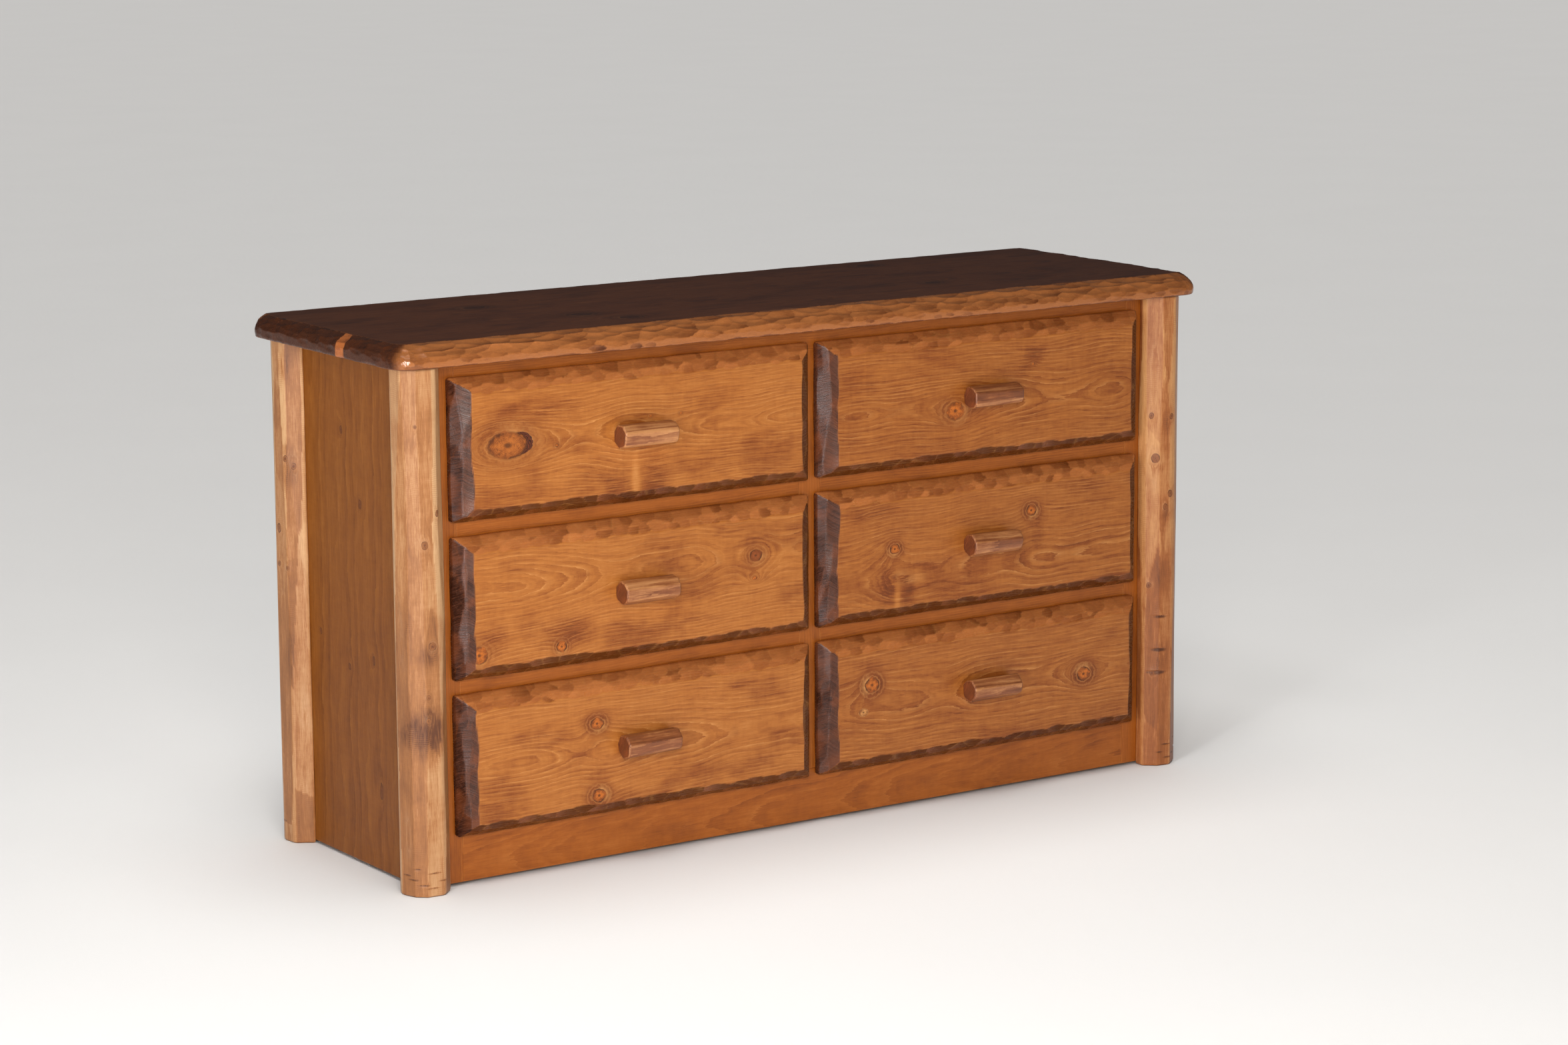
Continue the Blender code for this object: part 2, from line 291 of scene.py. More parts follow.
def knot_paint_group():
    """A knot's own wood: rings, radial checks, a dark rim and a dark heart."""

    def build(colour, height, k, du, dv, fuzz, tone, deep, dark, pale, size, halo, rim, crack):
        inside = smooth(k, 1.06, 0.94)
        turn = calc(k.tree, "ARCTAN2", dv, du)
        rings = of("SINE", k * size * 3.6 + fuzz * 6.0) * 0.5 + 0.5
        spokes = of("SINE", turn * 5.0 + fuzz * 7.0 + k * 2.0)
        check = smooth(spokes, 0.95, 1.0) * smooth(k, 0.10, 0.30) * smooth(k, 0.95, 0.55)
        outer = smooth(k, 0.30, 0.85)
        core = mixed(tone, deep, clamped(rings * 0.35 + outer * 0.45 + fuzz * 1.6))
        core = mixed(core, dark, clamped(rings * 0.5 + outer * 0.40 - 0.35 + fuzz) * 0.65)
        core = mixed(core, dark, clamped(check * 0.5 + smooth(k, 0.30, 0.08) * 0.85))
        edge = smooth(k, 0.80, 0.99) * smooth(k, 1.16, 1.02)
        patchy = of("SINE", turn * 2.0 + size * 1.7 + fuzz * 4.0) * 0.45 + 0.62
        edge = edge * clamped(patchy + fuzz * 2.0)
        colour = mixed(colour, deep, smooth(k, 3.2, 1.0) * halo)
        band = of("SINE", k * 10.0 + fuzz * 4.5 - 0.6)
        collar = smooth(k, 2.6, 1.3) * halo
        broken = clamped(0.35 + fuzz * 3.0 + of("COSINE", turn * 2.0) * 0.35)
        colour = mixed(colour, dark, clamped(band) * collar * broken * 0.60)
        colour = mixed(colour, pale, clamped(band * -1.0) * collar * 0.28)
        lobe = smooth(of("COSINE", turn - size * 1.3), 0.1, 0.9) * smooth(k, 2.1, 1.15)
        colour = mixed(colour, pale, clamped(lobe * (0.5 + fuzz * 2.5)) * halo * 0.7)
        colour = mixed(colour, core, inside * 0.92)
        colour = mixed(colour, dark, edge * rim)
        toward = of("COSINE", turn - 0.12) + fuzz * 0.30
        width = smooth(toward, 0.72, 1.0) * 0.27
        gap = smooth(k, 0.98, 1.03) * smooth(k - width, 1.08, 1.02) * smooth(toward, 0.70, 0.80)
        gap = gap * crack
        colour = mixed(colour, mixed(srgb(44, 18, 8), srgb(112, 52, 24), rings), gap)
        height = height - edge * rim * 0.08 - check * 0.06 * inside - gap * 0.6
        return colour, height

    given = [("colour", "Color"), *floats("height k du dv fuzz")]
    given += [(name, "Color") for name in ("tone", "deep", "dark", "pale")]
    given += floats("size halo rim crack")
    return grouped("knot_paint", given, [("colour", "Color"), ("height", "Float")], build)


def cloud_group():
    """A soft patch of stain: how strong it is here."""

    def build(du, dv, ru, rv, ragged, depth):
        reach = hypot(du / ru, dv / rv) + ragged
        return [smooth(reach, 1.45, 0.05) * depth]

    return grouped("stain_cloud", floats("du dv ru rv ragged depth"), floats("shade"), build)


def round_offset_group():
    """How far round a log a place is from the direction (cos, sin), kept to its near side."""

    def build(v, w, cosine, sine):
        side = w * cosine - v * sine
        front = v * cosine + w * sine
        return [side + smooth(front, 2.0, -2.0) * 500.0]

    return grouped("round_offset", floats("v w cosine sine"), floats("dv"), build)


def offset_from(tree, u, v, w, at_u, at_v, is_round):
    """Distances along and across the grain from a place on a board or round a log."""
    if not is_round:
        return u - at_u, v - at_v
    turn = math.radians(at_v)
    return u - at_u, call(tree, round_offset_group(), v, w, math.cos(turn), math.sin(turn))[0]


# Spacing of the ripples that a drawknife leaves across a log, in mm.
CHATTER_STEP = 3.2222


def pine(tree, u, v, w, tones, look):
    """The look of one piece of pine. u runs along the grain, v and w across it, in mm.

    Returns its colour, its height in mm, its roughness, and how far each place is latewood.
    """
    seed = attribute(tree, "seed", of_object=True)
    knots = look.get("knots", ())
    is_round = look.get("round", False)
    spacing = look.get("spacing", 4.2)
    away = seed * 517.3
    plank_tone = 0.0
    place_v = v
    if "plank" in look:
        plank = of("FLOOR", v / look["plank"])
        v = v - (plank + 0.5) * look["plank"]
        away = away + chance(plank, 3.0) * 900.0
        plank_tone = (chance(plank, 11.0) - 0.5) * look.get("plank_tone", 0.3)
    drift = noise(vector(tree, u * 0.30 + away, v, w), 85.0, 1.0) - 0.5
    wander = noise(vector(tree, u * 0.16 + away, v, w + 300.0), 15.0, 2.0) - 0.5
    fine = noise(vector(tree, u * 0.10 + away, v, w + 90.0), 2.4, 2.0) - 0.5
    fuzz = noise(vector(tree, u + away, v, w), 7.0, 2.0) - 0.5

    if is_round:
        rings = hypot(v, w) / spacing + drift * 1.6 + wander * 1.5
    else:
        swell = noise(vector(tree, u + away, v * 0.2, 40.0), 170.0, 1.0) - 0.5
        across = v + drift * look.get("sway", 26.0) - look.get("pith_v", 0.0)
        depth = w + look.get("pith_w", 60.0) + u * look.get("lean", 0.02)
        depth = depth + swell * look.get("swell", 34.0)
        rings = hypot(across, depth) / spacing + wander * look.get("wander", 0.8)
    marks = []
    for spot in knots:
        du, dv = offset_from(tree, u, place_v, w, spot["u"], spot["v"], is_round)
        reach = spot.get("reach", 0.75)
        ragged = fuzz * spot.get("ragged", 1.0)
        k, bend = call(
            tree, knot_bend_group(), du, dv, spot["ru"], spot["rv"], ragged, spot["pull"], reach
        )
        marks.append((spot, k, du, dv))
        rings = rings - bend
    rings = rings + fine * look.get("ragged", 0.40)

    phase = of("FRACT", rings)
    strength = chance(rings, 7.0) * 0.8 + 0.2
    late = (1.0 - phase) ** 6.0 * strength
    early = smooth(phase, 0.25, 1.0) * strength
    fade = noise(vector(tree, u * 0.35 + away, v, w + 820.0), 26.0, 2.0)
    late = late * smooth(fade, 0.30, 0.62)
    flow = noise(vector(tree, u * 0.018 + away, rings * 2.6, 0.0), 1.0, 3.0, 0.7) - 0.5
    ripple = noise(vector(tree, u + away, v * 0.20, w + 400.0), 6.5, 3.0, 0.65) - 0.5
    fibre = noise(vector(tree, u * 0.024 + away, v, w), 0.62, 2.0, 0.6) - 0.5
    streak = noise(vector(tree, u * 0.06 + away, v, w + 55.0), 4.5, 3.0, 0.6) - 0.5
    patches = noise(vector(tree, u * 0.50 + away, v, w + 500.0), 52.0, 3.0, 0.6)
    pore = noise(vector(tree, u * 0.10 + away, v, w + 700.0), 0.9, 1.0)

    shade = early * look.get("contrast", 0.36)
    shade = shade + smooth(patches, 0.44, 0.74) * look.get("mottle", 0.6)
    shade = shade + streak * look.get("streaks", 0.75) + fibre * 1.4 + flow * look.get("flow", 1.5)
    shade = shade + ripple * 0.40 + plank_tone + look.get("dim", 0.0)
    if "chop" in look:
        shade = shade + attribute(tree, "chop") * look["chop"]
    if "foot_dim" in look:
        shade = shade + smooth(u + wander * 200.0, 520.0, 330.0) * look["foot_dim"]
    shade = shade + smooth(pore, 0.66, 0.74) * 0.25
    grained = clamped(0.78 + flow * 1.6 + streak * 1.2 + fibre * 1.2)
    for at_u, at_v, ru, rv, depth in look.get("clouds", ()):
        du, dv = offset_from(tree, u, place_v, w, at_u, at_v, is_round)
        ragged = streak * 1.1 + fuzz * 0.3
        cloud = call(tree, cloud_group(), du, dv, ru, rv, ragged, depth * 1.35)[0]
        shade = shade + cloud * grained
    colour = mixed(tones["body"], tones["deep"], clamped(shade))
    colour = mixed(colour, tones["dark"], clamped(shade * 0.7 - 0.60))
    pale_share = late * look.get("lines", 0.64) * clamped(1.15 - shade * 0.45)
    colour = mixed(colour, tones["pale"], clamped(pale_share + clamped(shade * -0.7)))

    height = late * 0.05 + fibre * 0.10
    if look.get("chatter"):
        patch = smooth(noise(vector(tree, u * 0.35 + away, v, w + 610.0), 24.0, 1.0), 0.53, 0.66)
        wave = of("SINE", u * (2 * math.pi / CHATTER_STEP) + wander * 14.0) * patch
        colour = mixed(colour, tones["deep"], clamped(wave) * 0.36)
        height = height + wave * 0.07
    gloss = 0.42 + streak * 0.12 + late * 0.04 + fuzz * 0.05
    for spot, k, du, dv in marks:
        tone = spot.get("tone", srgb(206, 112, 36))
        size = spot["rv"]
        colour, height = call(
            tree, knot_paint_group(), colour, height, k, du, dv, fuzz, tone, tones["deep"],
            tones["dark"], tones["pale"], size, spot.get("halo", 0.6), spot.get("rim", 0.8),
            spot.get("crack", 0.0),
        )
    return colour, height, gloss, late


def hewn_finish(tree, colour, height, gloss, late, u, v, w, tones, look):
    """Darker stain chop by chop where the wood is hewn, partly painted shade; paler paint on the
    ridges between chops, a painted highlight; and rough stained end grain.

    Returns colour, height, roughness and a share of the specular level.
    """
    hewn = attribute(tree, "hewn")
    end = attribute(tree, "end")
    chop = attribute(tree, "chop")
    ridge = attribute(tree, "ridge")
    blotch = noise(vector(tree, u * 0.35, v, w), 12.0, 3.0, 0.6) - 0.5
    torn = noise(vector(tree, u * 0.16, v, w), 1.6, 2.0, 0.6) - 0.5
    # Paler paint along the ridges between chops, broken up by torn fibres: a painted highlight.
    painted_ridge_highlight = clamped(ridge * 1.3 + torn * 1.6 - 0.45)
    # The chop tone is partly random stain and partly painted shade of the facets, so this
    # darkening is both.
    stain_and_painted_shade = clamped(chop * 0.75 + blotch * 0.8 + torn * 0.7)
    hewn_tone = mixed(tones["hewn_light"], tones["hewn"], stain_and_painted_shade)
    hewn_tone = mixed(hewn_tone, tones["dark"], clamped(chop * 1.15 - 1.0))
    hewn_tone = mixed(hewn_tone, tones["pale"], clamped(late * 0.18 + painted_ridge_highlight * 0.22))
    colour = mixed(colour, hewn_tone, hewn * 0.86)
    across = v * 0.8 + w * 1.3 + u * 1.1
    along = v - w
    kerf = noise(vector(tree, across, along * 0.07, 3.0), 1.1, 1.0) - 0.5
    warm = smooth(noise(vector(tree, u, v, w), 38.0, 1.0), 0.50, 0.66)
    # End grain darkens with kerf marks, torn fibres and the chop tone, which is partly painted
    # shade.
    grime_and_painted_shade = clamped(0.15 + chop * 0.35 + kerf * 2.6 + torn - late * 0.4)
    end_tone = mixed(tones["end"], tones["end_dark"], grime_and_painted_shade)
    end_tone = mixed(end_tone, tones["deep"], painted_ridge_highlight * 0.35)
    end_tone = mixed(end_tone, tones["hewn"], clamped(warm * 0.40))
    if "end_strip" in look:
        middle, half = look["end_strip"]
        inside = smooth(of("ABSOLUTE", v - middle + torn * 3.0), half + 0.8, half - 0.8)
        sap = mixed(srgb(204, 118, 62), srgb(120, 62, 32), stain_and_painted_shade)
        end_tone = mixed(end_tone, sap, inside * 0.9)
    colour = mixed(colour, end_tone, end * 0.97)
    height = height + torn * hewn * 0.10 + kerf * end * 0.34
    gloss = gloss + torn * hewn * 0.10 - hewn * 0.14 - end * 0.02
    gloss = gloss - clamped(chop * -1.0) * hewn * 0.20
    shine = 1.0 - clamped(chop - 0.9) * hewn * 0.75 + clamped(chop * -1.0) * hewn * 0.9
    shine = shine * (1.0 - end * look.get("dull_ends", 0.0))
    return colour, height, gloss, shine


def finished(name, build, specular=0.35):
    """A material whose colour, height in mm and roughness come from build(tree).

    build may give a fourth Field, a share of the specular level that varies over the surface.
    """
    material = bpy.data.materials.new(name)
    material.use_nodes = True
    tree = material.node_tree
    shader = tree.nodes["Principled BSDF"]
    colour, height, gloss, *shine = build(tree)
    plug(tree, shader.inputs["Base Color"], colour)
    plug(tree, shader.inputs["Roughness"], clamped(gloss))
    plug(tree, shader.inputs["Specular IOR Level"], shine[0] * specular if shine else specular)
    bump = tree.nodes.new("ShaderNodeBump")
    bump.inputs["Distance"].default_value = MM
    bump.inputs["Strength"].default_value = 0.8
    plug(tree, bump.inputs["Height"], height)
    tree.links.new(bump.outputs[0], shader.inputs["Normal"])
    return material


def rubbed_edge(tree):
    """1 at the edges of a sawn board, 0 a few millimetres in from them."""
    gaps = []
    for axis, at in zip("xyz", place(tree)):
        above_low = at - attribute(tree, "low_" + axis, of_object=True)
        below_high = attribute(tree, "high_" + axis, of_object=True) - at
        gaps.append(calc(tree, "MINIMUM", above_low, below_high))
    most = larger(larger(gaps[0], gaps[1]), gaps[2])
    least = calc(tree, "MINIMUM", calc(tree, "MINIMUM", gaps[0], gaps[1]), gaps[2])
    return smooth(gaps[0] + gaps[1] + gaps[2] - most - least, 2.8, 0.3)


def board_material(name, along, tones, look, hewn=False, **finish):
    """Pine whose grain runs along X, Y or Z of the dresser."""
    order = {"x": (0, 2, 1), "y": (1, 0, 2), "z": (2, 0, 1)}[along]
    if look.get("flat") == "xy":
        order = (0, 1, 2)
    if look.get("flat") == "yz":
        order = (2, 1, 0)
    centre = look.get("centre", (0.0, 0.0, 0.0))

    def build(tree):
        spot = place(tree)
        u, v, w = [spot[axis] - centre[axis] / MM for axis in order]
        made = pine(tree, u, v, w, tones, look)
        if hewn:
            # Logs have end grain but no hewn bevels, so their specular level is one number.
            made = hewn_finish(tree, *made, u, v, w, tones, look)
            return made[:3] if look.get("round") else made
        colour, height, gloss, _ = made
        patchy = smooth(noise(vector(tree, u, v, w), 19.0, 2.0), 0.40, 0.62)
        rub = rubbed_edge(tree) * patchy
        return mixed(colour, tones["pale"], rub * 0.35), height, gloss - rub * 0.06

    return finished(name, build, **finish)


# ------------------------------------------------------------------ mesh helpers


def add_piece(name, points, faces, marks=None):
    """A smooth-shaded mesh object from points in metres, with named values at its points."""
    mesh = bpy.data.meshes.new(name)
    mesh.from_pydata([tuple(p) for p in points], [], faces)
    mesh.update()
    for mark, values in (marks or {}).items():
        layer = mesh.attributes.new(mark, "FLOAT", "POINT")
        layer.data.foreach_set("value", np.asarray(values, dtype=np.float32))
    tidy = bmesh.new()
    tidy.from_mesh(mesh)
    bmesh.ops.recalc_face_normals(tidy, faces=tidy.faces)
    tidy.to_mesh(mesh)
    tidy.free()
    mesh.shade_smooth()
    piece = bpy.data.objects.new(name, mesh)
    bpy.context.scene.collection.objects.link(piece)
    return piece


def enter(piece, body, slot, material, seed, *nodes):
    """Give a piece its body, finish and variation, and hide the CAD nodes it stands for."""
    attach(piece, body)
    if nodes:
        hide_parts(*nodes)
    piece["seed"] = seed
    piece.data.materials.clear()
    piece.data.materials.append(material)


def ring_faces(rows, count, capped=True):
    """Quads between rings of count points each, numbered ring after ring, and both ends."""
    faces = []
    for a in range(0, (rows - 1) * count, count):
        for i in range(count):
            j = (i + 1) % count
            faces.append((a + i, a + j, a + count + j, a + count + i))
    if capped:
        faces.append(tuple(range(count)))
        faces.append(tuple(range((rows - 1) * count, rows * count)))
    return faces


def blank_cut(shape):
    """A surface nothing has been cut from yet: its height, second-deepest cut and tone."""
    return np.full(shape, 1e9), np.full(shape, 1e9), np.zeros(shape)


def deeper(one, other):
    """Two cut surfaces taken together: the deeper of the two everywhere."""
    lower = other[0] < one[0]
    second = np.where(lower, np.minimum(one[0], other[1]), np.minimum(one[1], other[0]))
    return np.minimum(one[0], other[0]), second, np.where(lower, other[2], one[2])


def ridge_of(height, second, width=0.30):
    """1 on the ridge between two strokes, falling to 0 in their hollows."""
    return np.exp(-np.clip(second - height, 0.0, 20.0) / width)


def strokes(rng, s, d, length, row, profile):
    """A row of tool strokes along an edge: the surface they leave, and each stroke's tone.

    s and d are places along and in from the edge.  A stroke touches the profile, a curve of
    height against d, near the row's own d, and is a shallow hollow, bow along and hollow
    across, with its own lift, tilt along, slant across and turn.
    """
    count = int(length / row["step"]) + 3
    best, second, tone = blank_cut(s.shape)
    for number in range(count):
        start = (number - 1 + rng.uniform(-0.4, 0.4)) * row["step"]
        at = row["at"] + rng.uniform(-1.0, 1.0) * row["stray"]
        base = np.interp(at, *profile)
        slope = (np.interp(at + 2.0, *profile) - np.interp(at - 2.0, *profile)) / 4.0
        slope = slope + rng.uniform(-1.0, 1.0) * row["slant"]
        turn = row["turn"] + rng.uniform(-0.15, 0.15)
        run = (s - start) * math.cos(turn) + (d - at) * math.sin(turn)
        cut = base + rng.uniform(-0.6, 0.4) * row["lift"] + slope * (d - at)
        cut = cut + rng.uniform(-1.0, 1.0) * row["tilt"] * run
        cut = cut + row["bow"] * rng.uniform(0.7, 1.4) * run * run
        cut = cut + row["hollow"] * (d - at) ** 2
        # fade darkens each stroke towards one end of its run: painted shade for the lit and shaded
        # sides of a facet.
        shade = rng.uniform(*row["tone"]) + row["fade"] * np.clip(run / row["step"], -0.5, 0.5)
        best, second, tone = deeper((best, second, tone), (cut, 1e9, shade))
    return best, second, tone


# ------------------------------------------------------------------ drawer fronts

BEVELS = {"left": 29.0, "right": 27.0, "top": 25.0, "bottom": 22.0}
# Height of a bevel above the back of the board against the share of its width, in mm.
BEVEL_CURVE = ((-0.3, 0.0, 0.16, 0.42, 0.70, 1.0, 1.3), (2.0, 8.6, 14.2, 22.4, 26.8, 30.2, 33.0))
LONG_CHOPS = dict(
    step=38.0, bow=0.0012, hollow=0.0060, lift=1.1, tilt=0.100, slant=0.24, tone=(0.0, 1.0),
    fade=0.5,
)
OUTER_CHOPS = dict(LONG_CHOPS, tone=(1.0, 1.6))
INNER_CHOPS = dict(LONG_CHOPS, lift=0.35, tilt=0.030, slant=0.10)
# Chops of the right bevels, stained dark: partly the hewn wood's stain, partly painted shade, as
# these bevels face away from the key lamp.
SMOOTH_CHOPS = dict(
    step=48.0, bow=0.0006, hollow=0.0030, lift=0.5, tilt=0.020, slant=0.07, tone=(1.6, 2.0),
    fade=0.3,
)
# Chops of the bottom bevels, stained dark: partly the hewn wood's stain, partly painted shade on
# these downward-facing bevels.
WAVY_CHOPS = dict(
    step=27.0, bow=0.0036, hollow=0.0060, lift=1.2, tilt=0.060, slant=0.14, tone=(1.45, 2.05),
    fade=0.5,
)
SHORT_CHOPS = dict(
    step=19.0, bow=0.0090, hollow=0.0120, lift=1.6, tilt=0.110, slant=0.20, tone=(0.1, 1.0),
    fade=0.35,
)
BEVEL_ROWS = {
    "left": ((0.12, OUTER_CHOPS, 0.05), (0.42, LONG_CHOPS, -0.2), (0.80, INNER_CHOPS, 0.1)),
    "right": ((0.12, SMOOTH_CHOPS, 0.05), (0.72, SMOOTH_CHOPS, 0.05)),
    "bottom": ((0.14, WAVY_CHOPS, 0.15), (0.70, WAVY_CHOPS, 0.25)),
    "top": ((0.10, SHORT_CHOPS, 0.3), (0.45, SHORT_CHOPS, 0.4), (0.86, SHORT_CHOPS, 0.35)),
}


def edge_grid(length, band, fine, coarse):
    """Grid places across a board: fine near both edges, coarse between."""
    near = np.arange(0.0, band, fine)
    middle = np.linspace(band, length - band, max(2, int((length - 2 * band) / coarse)))
    return np.concatenate([near, middle, (length - near)[::-1]])


def bevel_cut(rng, s, d, length, name):
    """The cut left by the chops of one bevel of a drawer front."""
    width = BEVELS[name]
    profile = (np.array(BEVEL_CURVE[0]) * width, np.array(BEVEL_CURVE[1]))
    near = d < width + 14.0
    band = blank_cut(s[near].shape)
    for share, row, turn in BEVEL_ROWS[name]:
        row = dict(row, at=share * width, stray=0.11 * width, turn=turn)
        band = deeper(band, strokes(rng, s[near], d[near], length, row, profile))
    whole = blank_cut(s.shape)
    for field, values in zip(whole, band):
        field[near] = values
    return whole


def hewn_front(name, low, high, rng):
    """A drawer front: flat face, strokes of the drawknife round all four bevels."""
    width, full, tall = [(b - a) / MM for a, b in zip(low, high)]
    xs = edge_grid(width, 38.0, 1.6, 3.0)
    zs = edge_grid(tall, 34.0, 1.6, 9.0)
    x, z = np.meshgrid(xs, zs, indexing="ij")
    cuts = {
        "left": bevel_cut(rng, z, x, tall, "left"),
        "right": bevel_cut(rng, tall - z, width - x, tall, "right"),
        "bottom": bevel_cut(rng, x, z, width, "bottom"),
        "top": bevel_cut(rng, x, tall - z, width, "top"),
    }
    ends = np.minimum(cuts["left"][0], cuts["right"][0])
    sides = np.minimum(cuts["top"][0], cuts["bottom"][0])
    cut, second, chop = blank_cut(x.shape)
    for side in cuts.values():
        cut, second, chop = deeper((cut, second, chop), side)
    height = np.clip(cut, 3.0, full)
    hewn = np.clip((full - cut) / 0.35, 0.0, 1.0)
    ridge = ridge_of(cut, np.minimum(second, full)) * hewn
    end = hewn * np.clip((sides - ends) / 0.6 + 0.5, 0.0, 1.0)
    # The right bevels keep little of the end-grain colour, leaving the dark chop tone: part of the
    # painted shade on that side.
    end = end * np.where(x > width / 2, 0.10, 1.0)

    # The corners are rounded in plan, and the outline wavers a little.
    radius = 5.0
    a = np.clip((radius - np.minimum(x, width - x)) / radius, 0.0, 1.0)
    b = np.clip((radius - np.minimum(z, tall - z)) / radius, 0.0, 1.0)
    pull_x = radius * a * (1.0 - np.sqrt(1.0 - b * b / 2))
    pull_z = radius * b * (1.0 - np.sqrt(1.0 - a * a / 2))
    near_x = np.clip(1.0 - np.minimum(x, width - x) / 14.0, 0.0, 1.0)
    near_z = np.clip(1.0 - np.minimum(z, tall - z) / 14.0, 0.0, 1.0)
    pull_x = pull_x + near_x * wavy_line(rng, zs, 31.0)[None, :]
    pull_z = pull_z + near_z * wavy_line(rng, xs, 24.0)[:, None]
    px = x + np.where(x < width / 2, pull_x, -pull_x)
    pz = z + np.where(z < tall / 2, pull_z, -pull_z)

    nx, nz = x.shape
    index = np.arange(nx * nz).reshape(nx, nz)
    faces = []
    for i in range(nx - 1):
        for j in range(nz - 1):
            faces.append((index[i, j], index[i + 1, j], index[i + 1, j + 1], index[i, j + 1]))
    rim = [*index[:, 0], *index[-1, 1:], *index[-2::-1, -1], *index[0, -2:0:-1]]
    points = np.stack([px, height, pz], -1).reshape(-1, 3)
    values = {"hewn": hewn, "end": end, "chop": chop, "ridge": ridge}
    values = {mark: field.ravel() for mark, field in values.items()}

    centre = np.array([width / 2, 0.0, tall / 2])
    outline = points[rim]
    shelf = outline.copy()
    shelf[:, 1] = 1.2
    inner = outline + (centre - outline) * np.array([2 / width, 0.0, 2 / tall])
    inner[:, 1] = 0.0
    start = len(points)
    count = len(rim)
    points = np.concatenate([points, shelf, inner])
    for mark in values:
        edge = values[mark][rim]
        values[mark] = np.concatenate([values[mark], edge, np.zeros(count)])
    for i in range(count):
        j = (i + 1) % count
        faces.append((rim[i], rim[j], start + j, start + i))
        faces.append((start + i, start + j, start + count + j, start + count + i))
    faces.append(tuple(range(start + count, start + 2 * count)))
    faces = [tuple(int(i) for i in face) for face in faces]
    place_at = np.array([low.x, high.y, low.z])
    points = place_at + points * MM * np.array([1.0, -1.0, 1.0])
    return add_piece(name, points, faces, values)


def wavy_line(rng, places, step):
    """How far a hewn outline lies inside the board at each place, up to 1.2 mm."""
    knots_at = np.arange(places[0] - step, places[-1] + 2 * step, step)
    return np.interp(places, knots_at, rng.uniform(0.0, 1.2, len(knots_at)))


# ------------------------------------------------------------------ logs


def log_radius(rng, turn, along, length, radius, flats, stroke, depth):
    """Radius of a drawknifed log, in mm, at angles turn and places along it, and its tone.

    Each stroke leaves a flat facing its own way, about stroke long, fading at both ends.
    """
    best = radius * (1.0 + 0.012 * np.sin(along / length * 5.0 + rng.uniform(0, 6)))
    tone = np.zeros(best.shape)
    count = max(1, int(length / stroke * 1.5))
    for face in range(flats):
        facing = 2 * math.pi * (face + rng.uniform(-0.22, 0.22)) / flats
        for spot in np.linspace(0.0, length, count + 1):
            middle = spot + rng.uniform(-0.35, 0.35) * stroke
            off = facing + rng.uniform(-0.15, 0.15)
            deep = radius * (1.0 - depth * rng.uniform(0.60, 1.20))
            bow = radius * depth * 0.8 / (stroke * rng.uniform(0.55, 1.0)) ** 2
            away = np.cos(turn - off)
            flat = (deep + bow * (along - middle) ** 2) / np.maximum(away, 0.2)
            lower = (away > 0.5) & (flat < best)
            best = np.where(lower, flat, best)
            tone = np.where(lower, rng.uniform(0.0, 1.0), tone)
    return best, tone


# Cuts across a post's foot: height in mm, direction and half their width in radians.
NICKS = (
    (14.0, -1.70, 0.16), (19.0, -2.15, 0.14), (37.0, -1.62, 0.17), (24.0, -1.25, 0.12),
    (27.0, -2.6, 0.16), (33.0, -2.95, 0.12), (44.0, -2.4, 0.10),
)


def log_post(name, node, side, back, rng, bumps, gouges):
    """A peeled post: three quarters of a log round one corner of the case.

    It swells at its knots, and is gouged where the drawknife dug in.
    """
    low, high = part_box(node)
    tall = (high.z - low.z) / MM
    centre_x = (low.x + high.x) / 2
    centre_y = (low.y + high.y) / 2
    radius = (high.x - low.x) / 2 / MM
    wall = (abs(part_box("side_panel_left")[0].x) / MM + 0.3) - abs(centre_x) / MM
    steps = 84
    first = math.acos(-wall / radius)
    last = 2 * math.pi
    turn = np.linspace(first, last, steps)
    zs = [[0.0, 1.2, 2.6], np.arange(4.5, 46.0, 1.5), np.linspace(47, tall, 170)]
    zs = zs + [height + np.arange(-5.0, 4.0, 0.7) for height, _, _ in gouges]
    zs = np.unique(np.concatenate(zs))
    t, z = np.meshgrid(turn, zs)
    r, chop = log_radius(rng, t, z, tall, radius, 8, 330.0, 0.074)
    r = r - 2.6 * np.clip(1.0 - z / 4.0, 0.0, 1.0) ** 2
    for height, angle, half in NICKS:
        inside = np.clip(1.4 - np.abs(t - angle % (2 * math.pi)) / half, 0.0, 1.0)
        r = r - 1.3 * np.exp(-(((z - height) / 1.1) ** 2)) * inside
    for height, angle, size in bumps:
        gap = (t - math.radians(angle) + math.pi) % (2 * math.pi) - math.pi
        spread = (gap * radius) ** 2 + (z - height) ** 2
        r = r + 0.9 * np.exp(-spread / (2 * size * size))
    for height, angle, half in gouges:
        gap = (t - math.radians(angle) + math.pi) % (2 * math.pi) - math.pi
        under = np.clip(height - z, 0.0, None)
        lip = np.exp(-np.clip(z - height, 0.0, None) / 5.0) * (z >= height) * 0.7
        dip = 2.2 * np.clip(under / 0.8, 0.0, 1.0) * np.exp(-under / 11.0)
        r = r + (lip - dip) * np.exp(-((gap / math.radians(half)) ** 2))
    u, v = r * np.cos(t), r * np.sin(t)
    u[:, 0] = -wall
    v[:, -1] = -0.3
    corner = np.full((len(zs), 1), 1.0)
    chop = np.concatenate([chop, chop[:, -1:]], axis=1)
    u = np.concatenate([u, corner * -wall], axis=1)
    v = np.concatenate([v, corner * -0.3], axis=1)
    z = np.concatenate([z, zs[:, None]], axis=1)
    count = steps + 1
    faces = ring_faces(len(zs), count)
    x = centre_x - side * u * MM
    y = centre_y + back * v * MM
    points = np.stack([x, y, low.z + z * MM], -1).reshape(-1, 3)
    ends = np.zeros(z.shape)
    ends[0] = ends[-1] = 1.0
    hewn = np.zeros(z.size)
    values = {"hewn": hewn, "end": ends.ravel(), "chop": chop.ravel()}
    return add_piece(name, points, faces, values)


